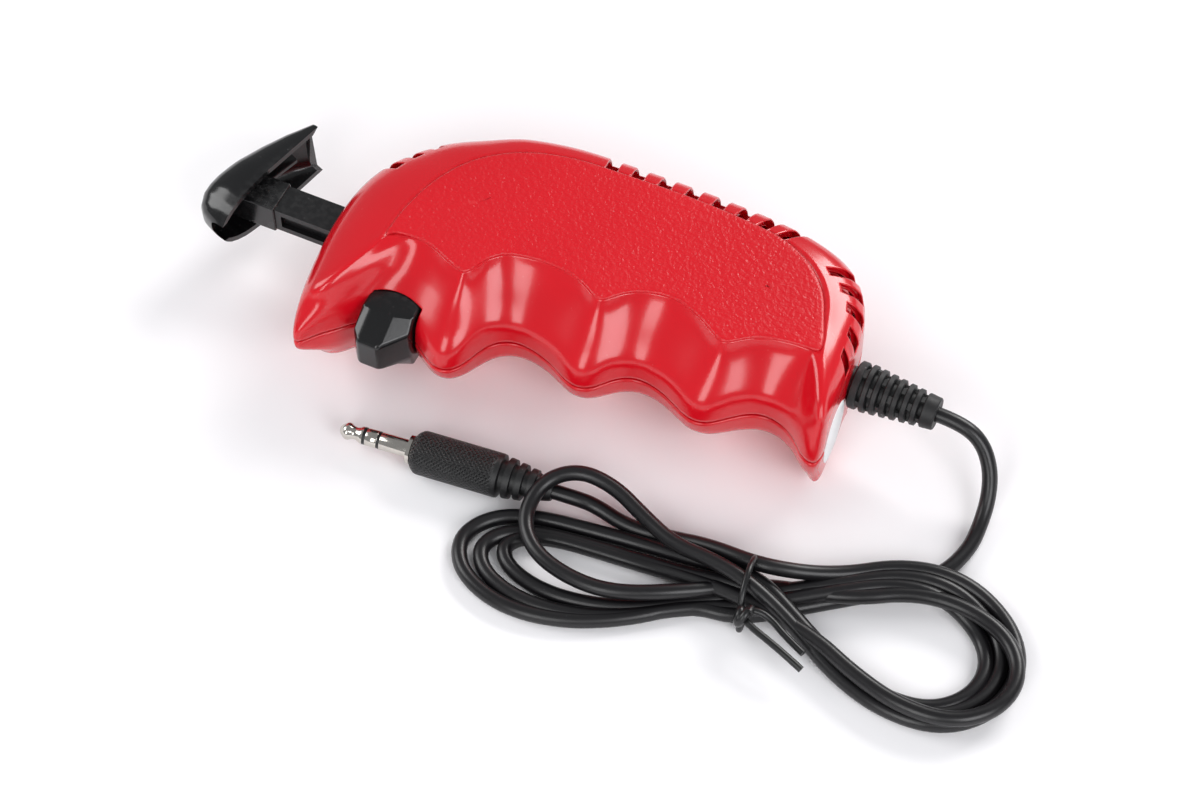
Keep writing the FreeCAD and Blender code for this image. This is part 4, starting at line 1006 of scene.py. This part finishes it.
# ---------------------------------------------------------------------------
# Strain relief and label
# ---------------------------------------------------------------------------


BOOT_Y = 36.4
RIBS = 7
RIB_START = 102.2
RIB_PITCH = 1.95
RIB_RADIUS = 4.75
RIB_TAPER = 1.35


def rib(n):
    """Where one rib of the strain relief starts, and its radius."""
    return RIB_START + n * RIB_PITCH, RIB_RADIUS - RIB_TAPER * n / (RIBS - 1)


def boot_profile():
    """The strain relief's outline: inner flange, neck, collar, tapering ribs and nose."""
    profile = [(94.1, 0.0), (94.1, 4.6), (96.1, 4.6), (96.1, 3.3), (100.5, 3.3), (100.5, 4.3)]
    profile += [(100.8, 4.7), (102.0, 4.7)]
    for n in range(RIBS):
        start, size = rib(n)
        core = size - 1.15
        profile += [(start, size - 0.25), (start, core), (start + 0.75, core), (start + 0.75, size - 0.2)]
        profile += [(start + 0.95, size), (start + 1.75, size - 0.05)]
    return profile + [(115.9, 3.3), (117.1, 3.2), (117.3, 3.0), (117.3, 1.5), (116.6, 0.0)]


def boot_bridges():
    """Points and faces of the small bridges between ribs, four to a gap and staggered."""
    points, faces = [], []
    for n in range(RIBS):
        start, size = rib(n)
        near, outer = start - 0.1, size - 0.35
        inner = outer - 1.2
        for k in range(4):
            angle = math.pi / 2 * k + (math.pi / 4 if n % 2 else 0.0)
            first = len(points)
            for x in (near, near + 1.0):
                for r, swing in ((inner, -0.28), (outer, -0.2), (outer, 0.2), (inner, 0.28)):
                    points.append((x, BOOT_Y - r * math.sin(angle + swing), MID + r * math.cos(angle + swing)))
            q = [first + corner for corner in range(8)]
            faces += [[q[0], q[1], q[2], q[3]], [q[7], q[6], q[5], q[4]]]
            faces += [[q[c], q[c + 4], q[(c + 1) % 4 + 4], q[(c + 1) % 4]] for c in range(4)]
    return np.array(points), faces


class BuildBoot(bpy.types.Operator):
    """The ribbed strain relief and the blank end label"""

    bl_idname = "controller.build_boot"
    bl_label = "Strain relief and label"

    def execute(self, context):
        looks = finishes()
        origin = (0, BOOT_Y, MID)
        boot = turned(
            "boot_ribs", boot_profile(), origin, 0.0, looks["boot"], "housing", "boot_rubber", sharp=35.0
        )
        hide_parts("strain_relief")
        points, faces = boot_bridges()
        mesh_piece("boot_bridges", points, faces, looks["boot"], "housing")
        build_label(looks["paper"])
        return {"FINISHED"}


def build_label(material):
    """A blank round label that follows the end face: rings of a disc, front and back."""
    rails = grip_rail()[1]
    end = (rails[:, 0] > 95) & (rails[:, 1] > 17) & (rails[:, 1] < 40)
    order = np.argsort(rails[end, 1])
    angle = np.linspace(0, 2 * np.pi, 64, endpoint=False)
    rings = []
    middle_y, middle_z = 25.8, 13.2
    front = [(radius, 0.10) for radius in (0.0, 2.0, 4.2, 6.0)]
    for radius, lift in front + [(6.15, 0.04), (6.15, -0.3), (0.0, -0.3)]:
        y = middle_y + radius * np.cos(angle)
        z = middle_z + radius * np.sin(angle)
        x = np.interp(y, rails[end, 1][order], rails[end, 0][order]) + lift
        rings.append(np.column_stack([x, y, z]))
    grid = np.array(rings)
    faces = grid_faces(len(grid), len(angle), wrap_columns=True)
    label = mesh_piece("label_disc", grid.reshape(-1, 3), faces, material, "housing")
    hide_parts("end_label")


# ---------------------------------------------------------------------------
# Cord
# ---------------------------------------------------------------------------


def lobe(points, scale, centre, shift, height, start_height, end_height):
    """One lobe's control points, scaled about its centre and moved, lifted at both ends."""
    points = np.array(points)
    scaled = np.array(centre) + (points - np.array(centre)) * scale + np.array(shift)
    z = np.full(len(points), height)
    z[0] = (start_height + height) / 2
    z[-1] = (end_height + height) / 2
    return [(x, y, h) for (x, y), h in zip(scaled, z)]


def cord_points():
    """Control points of the whole cord: lead, four figure-eight turns, and the tail."""
    route = list(LEAD)
    cx, cy = CROSSING
    low = [-4.2, -1.3, 1.5, 4.2]
    high = [4.2, 1.4, -1.4, -4.0]
    left_scale = [(1.0, 1.0), (0.88, 0.74), (0.78, 0.56)]
    left_shift = [(0.0, 0.0), (1.2, -0.6), (2.6, 0.8)]
    right_scale = [(0.80, 0.74), (0.88, 0.86), (0.90, 0.80), (1.0, 1.0)]
    right_shift = [(-1.6, -1.4), (-0.6, -0.6), (2.6, -2.6), (0.0, -0.4)]
    right_height = [1.5, 1.5, 4.5, 1.8]
    for turn in range(4):
        route.append((cx, cy + low[turn], 1.5))
        if turn < 3:
            scale, shift = np.array(left_scale[turn]), left_shift[turn]
            route += lobe(LEFT_LOBE, scale, (70.0, -16.6), shift, 1.5, 1.5, 4.4)
            route.append((cx, cy + high[turn], 4.5))
            end_height = 4.5
        else:
            route += [(x, y, z) for (x, y), z in zip(TOP_LOOP, TOP_LOOP_HEIGHTS)]
            route.append((cx, cy + 0.4, 7.5))
            end_height = 7.5
        height = right_height[turn]
        scale, shift = np.array(right_scale[turn]), right_shift[turn]
        right = lobe(RIGHT_LOBE, scale, (129.5, -4.2), shift, height, end_height, 1.5)
        right[-3:] = [(x, y, 4.6) for x, y, _ in right[-3:-1]] + [(right[-1][0], right[-1][1], 4.2)]
        route += right
    route += [(cx + 1.0, cy + 4.6, 7.4), *TAIL]
    return route + [plug_point(47.5), plug_point(PLUG_LENGTH)]


def plug_point(distance):
    """A point on the plug's axis, that many millimetres from its tip."""
    turn = math.radians(PLUG_TURN)
    return (PLUG_TIP[0] + distance * math.cos(turn), PLUG_TIP[1] + distance * math.sin(turn), PLUG_RADIUS)


def spline_curve(name, points, radius, material, resolution=8):
    """A round cord along one smooth open NURBS spline."""
    curve = bpy.data.curves.new(name, "CURVE")
    curve.dimensions = "3D"
    spline = curve.splines.new("NURBS")
    spline.points.add(len(points) - 1)
    spline.points.foreach_set("co", np.column_stack([place(points), np.ones(len(points))]).ravel())
    spline.order_u = 3
    spline.use_endpoint_u = True
    spline.resolution_u = resolution
    curve.bevel_depth = radius
    curve.bevel_resolution = 5
    curve.use_fill_caps = True
    curve.materials.append(material)
    piece = bpy.data.objects.new(name, curve)
    bpy.context.scene.collection.objects.link(piece)
    return piece


class BuildCord(bpy.types.Operator):
    """The whole cord on one spline: lead, tied figure-eight hank and tail"""

    bl_idname = "controller.build_cord"
    bl_label = "Cord"

    def execute(self, context):
        shape = context.scene.controller_shape
        points = cord_points()
        cord = spline_curve("cord", points, shape.cord_diameter / 2, finishes()["cord"])
        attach(cord, "housing")
        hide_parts("cord_lead", "cord_hank", "cord_tail")
        plug = build_plug()
        tie = build_tie()
        return {"FINISHED"}


def build_plug():
    """Tip, ring and sleeve in metal between black insulators, and the moulded barrel with its ribbed tail."""
    looks = finishes()
    origin = (PLUG_TIP[0], PLUG_TIP[1], PLUG_RADIUS)

    def part(name, profile, material, slot, node, **options):
        piece = turned(name, profile, origin, PLUG_TURN, material, "housing", slot, **options)
        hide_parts(node)
        return piece

    def band(start, end):
        return [(start, 0), (start, 1.7), (end, 1.7), (end, 0)]

    metal, black = looks["metal"], looks["satin"]
    tip = [
        (0, 0), (0.05, 0.5), (0.25, 0.85), (0.9, 1.45), (1.35, 1.68), (1.6, 1.72), (2.0, 1.66), (2.5, 1.35),
        (3.0, 1.22), (3.5, 1.28), (4.2, 1.6), (4.5, 1.74), (4.9, 1.75), (4.9, 0),
    ]
    ring = [(5.5, 0), (5.5, 1.72), (5.55, 1.75), (7.75, 1.75), (7.8, 1.72), (7.8, 0)]
    sleeve = [
        (8.4, 0), (8.4, 1.72), (8.45, 1.75), (14.05, 1.75), (14.1, 2.2), (14.15, 2.85), (14.9, 2.9),
        (15.0, 2.8), (15.0, 0),
    ]
    barrel = [
        (15.0, 0), (15.0, 2.7), (15.05, 3.0), (15.5, 3.6), (16.2, 4.15), (16.6, 4.28), (17.2, 4.3),
        (32.4, 4.3), (32.8, 4.2), (32.9, 4.0),
    ]
    for n, size in enumerate((3.95, 3.6, 3.2)):
        start, root = 33.0 + n * 2.3, size - 0.65
        barrel += [(start, root), (start + 0.9, root), (start + 0.95, size)]
        barrel += [(start + 1.3, size + 0.03), (start + 2.2, size - 0.1)]
    barrel += [(40.0, 2.7), (42.9, 2.0), (43.25, 1.85), (PLUG_LENGTH, 1.5), (43.0, 0)]
    return [
        part("plug_tip_turned", tip, metal, "plug_nickel", "plug_tip"),
        part("plug_ring_turned", ring, metal, "plug_nickel", "plug_ring"),
        part("plug_band_front", band(4.9, 5.5), black, "plug_insulator", "plug_insulator_front"),
        part("plug_band_rear", band(7.8, 8.4), black, "plug_insulator", "plug_insulator_rear"),
        part("plug_sleeve_turned", sleeve, metal, "plug_nickel", "plug_sleeve"),
        part(
            "plug_barrel_moulded", barrel, looks["barrel"], "barrel_pvc", "plug_barrel",
            uv=True, sharp=35.0, sides=72,
        ),
    ]


def build_tie():
    """A thin soft strap wound twice round the bundle, knotted on top, with two loose tails."""
    looks = finishes()
    cx, cy = CROSSING
    ring = [
        (cx + 1.0, cy - 6.4, 4.4), (cx + 0.2, cy - 4.6, 7.6), (cx - 0.4, cy - 1.6, 9.5),
        (cx - 1.0, cy + 2.4, 9.8), (cx - 1.4, cy + 6.2, 7.4), (cx - 1.4, cy + 7.0, 3.8),
        (cx - 0.8, cy + 5.4, 0.7), (cx, cy, 0.6), (cx + 0.8, cy - 5.8, 0.8),
        (cx + 1.0, cy - 7.0, 2.6), (cx + 1.0, cy - 6.4, 4.4),
    ]
    wraps = 2.4
    turns = np.linspace(0, 2 * np.pi * wraps, 34)
    swing = np.cos(turns / wraps)
    swell = 1.6 + 0.4 * swing
    knot_x = cx + 1.3 + 0.9 * swing + 0.3 * np.cos(turns)
    knot = np.column_stack([knot_x, cy - 6.2 + swell * np.sin(turns), 6.4 + swell * np.cos(turns)])
    end = [
        (cx + 1.6, cy - 5.4, 7.6), (cx + 3.8, cy - 4.6, 7.8), (cx + 6.8, cy - 5.2, 7.2),
        (cx + 10.2, cy - 7.0, 6.6), (cx + 14.4, cy - 8.8, 6.4),
    ]
    short_end = [
        (cx + 1.4, cy - 6.6, 6.6), (cx + 4.0, cy - 8.0, 6.8), (cx + 7.4, cy - 9.0, 6.6),
        (cx + 11.2, cy - 10.2, 6.2), (cx + 15.2, cy - 11.4, 5.2),
    ]
    strands = (
        ("tie_loop", ring, 0.00062), ("tie_knot", knot, 0.0008), ("tie_end", end, 0.00068),
        ("tie_end_short", short_end, 0.00068),
    )
    pieces = []
    for name, points, radius in strands:
        piece = spline_curve(name, points, radius, looks["satin"], resolution=10)
        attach(piece, "housing")
        pieces.append(piece)
    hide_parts("hank_tie")
    return pieces


# ---------------------------------------------------------------------------
# Inside
# ---------------------------------------------------------------------------


def build_spring(material):
    """The plunger's return spring: wire swept along a helix."""
    low, high = (np.array(corner, dtype=float) * 1000 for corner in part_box("plunger_spring"))
    wire = 0.35
    radius = (high[2] - low[2]) / 2 - wire
    turns, around, per_turn = 8.0, 10, 36
    steps = int(turns * per_turn)
    share = np.linspace(0.0, 1.0, steps)
    turn = 2 * np.pi * turns * share
    centre = (low + high) / 2
    x = low[0] + wire + (high[0] - low[0] - 2 * wire) * share
    out = np.column_stack([np.zeros(steps), np.cos(turn), np.sin(turn)])
    line = np.column_stack([x, np.full(steps, centre[1]), np.full(steps, centre[2])]) + out * radius
    spin = np.linspace(0, 2 * np.pi, around, endpoint=False)
    size = np.concatenate([[0.0], np.full(steps, wire), [0.0]])
    line, out = np.vstack([line[:1], line, line[-1:]]), np.vstack([out[:1], out, out[-1:]])
    ring = np.cos(spin)[None, :, None] * out[:, None, :] + np.sin(spin)[None, :, None] * np.array([1.0, 0.0, 0.0])
    points = line[:, None, :] + ring * size[:, None, None] - np.append(SHIFT[:2], 0.0)
    faces = grid_faces(steps + 2, around, wrap_columns=True)
    spring = mesh_piece("return_spring", points.reshape(-1, 3), faces, material, "housing")
    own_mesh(spring)
    return spring


class FinishInside(bpy.types.Operator):
    """The return spring, and materials for the other spring, the resistor and the contacts"""

    bl_idname = "controller.finish_inside"
    bl_label = "Inside"

    def execute(self, context):
        looks = finishes()
        spring = build_spring(looks["steel"])
        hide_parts("plunger_spring")
        choice = {
            "resistor_former": "ceramic", "resistor_winding": "steel",
            "terminal_front": "brass", "terminal_rear": "brass", "wiper_contact": "brass",
            "button_bridge": "brass", "button_spring": "steel", "cord_inner": "cord",
        }
        for name, look in choice.items():
            repaint(name, looks[look])
        return {"FINISHED"}


# ---------------------------------------------------------------------------
# Stage
# ---------------------------------------------------------------------------

CAMERA_TARGET = (53.97, 22.11, 0.0)
CAMERA_TURN = 25.0
CAMERA_RISE = 55.0
CAMERA_AWAY = 0.6
CAMERA_LENS = 92.78
LIGHT_TARGET = (0, 0, 0.01)
# Softboxes: place, size, colour, and the share of which power
SOFTBOXES = {
    "key": ((0.30, 0.85, 0.62), (0.6, 0.4), (1.0, 0.99, 0.98), 1.0, "key"),
    "fill": ((0.62, -0.40, 0.50), (0.4, 0.5), (0.98, 0.98, 1.0), 1.0, "fill"),
    "side": ((-0.78, -0.16, 0.52), (0.5, 0.55), (1.0, 1.0, 1.0), 1.1, "fill"),
    "front": ((0.02, -0.80, 0.50), (0.3, 0.6), (1.0, 1.0, 1.0), 0.8, "fill"),
}


def area_light(name, location, size, power, colour):
    """A softbox that faces the object."""
    data = bpy.data.lights.new(name, "AREA")
    data.shape = "RECTANGLE"
    data.size, data.size_y = size
    data.energy = power
    data.color = colour
    light = bpy.data.objects.new(name, data)
    light.location = location
    direction = Vector(LIGHT_TARGET) - Vector(location)
    light.rotation_euler = direction.to_track_quat("-Z", "Y").to_euler()
    bpy.context.scene.collection.objects.link(light)


class BuildStage(bpy.types.Operator):
    """Camera, pale floor and soft studio light"""

    bl_idname = "controller.build_stage"
    bl_label = "Stage"

    def execute(self, context):
        scene = context.scene
        stage = scene.controller_stage
        scene.view_settings.view_transform = "Standard"
        turn, rise = math.radians(CAMERA_TURN), math.radians(CAMERA_RISE)
        target = Vector(place(CAMERA_TARGET))
        back = Vector((math.sin(turn) * math.cos(rise), -math.cos(turn) * math.cos(rise), math.sin(rise)))
        data = bpy.data.cameras.new("camera")
        data.sensor_width = 36.0
        data.lens = CAMERA_LENS
        data.clip_start = 0.01
        camera = bpy.data.objects.new("camera", data)
        camera.location = target + back * CAMERA_AWAY
        camera.rotation_euler = (-back).to_track_quat("-Z", "Y").to_euler()
        scene.collection.objects.link(camera)
        scene.camera = camera

        bpy.ops.mesh.primitive_plane_add(size=6.0, location=(0.0, 0.0, -0.00005))
        floor = context.active_object
        floor.name = "floor"
        material, tree, shader, vector = new_material("floor_paper")
        mottled = noise(tree, vector, 3.0, 2.0)
        colours = blend_colour(tree, mottled, (0.93, 0.92, 0.935), (0.95, 0.94, 0.955))
        tree.links.new(colours, shader.inputs["Base Color"])
        shader.inputs["Roughness"].default_value = 0.9
        floor.data.materials.append(material)

        world = bpy.data.worlds.new("room")
        world.use_nodes = True
        background = world.node_tree.nodes["Background"]
        background.inputs["Color"].default_value = (0.95, 0.97, 1.0, 1.0)
        background.inputs["Strength"].default_value = stage.room
        scene.world = world
        for name, (location, size, colour, share, power) in SOFTBOXES.items():
            area_light(name, location, size, getattr(stage, power) * share, colour)
        return {"FINISHED"}


# ---------------------------------------------------------------------------
# Add-on
# ---------------------------------------------------------------------------

OPERATORS = (BuildStage, BuildCord, BuildGrip, BuildPlunger, BuildButton, BuildBoot, FinishInside)
GROUPS = (ControllerShape, ControllerColours, ControllerStage)


class ControllerPanel(bpy.types.Panel):
    """Sidebar list of the build steps and their settings"""

    bl_idname = "VIEW3D_PT_controller"
    bl_label = "Controller"
    bl_space_type = "VIEW_3D"
    bl_region_type = "UI"
    bl_category = "Controller"

    def draw(self, context):
        layout = self.layout
        for operator in OPERATORS:
            layout.operator(operator.bl_idname)
        scene = context.scene
        for group in (scene.controller_shape, scene.controller_colours, scene.controller_stage):
            for name in group.__annotations__:
                layout.prop(group, name)


def register():
    for item in GROUPS + OPERATORS + (ControllerPanel,):
        bpy.utils.register_class(item)
    bpy.types.Scene.controller_shape = PointerProperty(type=ControllerShape)
    bpy.types.Scene.controller_colours = PointerProperty(type=ControllerColours)
    bpy.types.Scene.controller_stage = PointerProperty(type=ControllerStage)


def unregister():
    del bpy.types.Scene.controller_stage
    del bpy.types.Scene.controller_colours
    del bpy.types.Scene.controller_shape
    for item in reversed(GROUPS + OPERATORS + (ControllerPanel,)):
        bpy.utils.unregister_class(item)


def main():
    register()
    bpy.ops.controller.build_stage()
    bpy.ops.controller.build_cord()
    bpy.ops.controller.build_grip()
    bpy.ops.controller.build_plunger()
    bpy.ops.controller.build_button()
    bpy.ops.controller.build_boot()
    bpy.ops.controller.finish_inside()


if __name__ == "__main__":
    main()
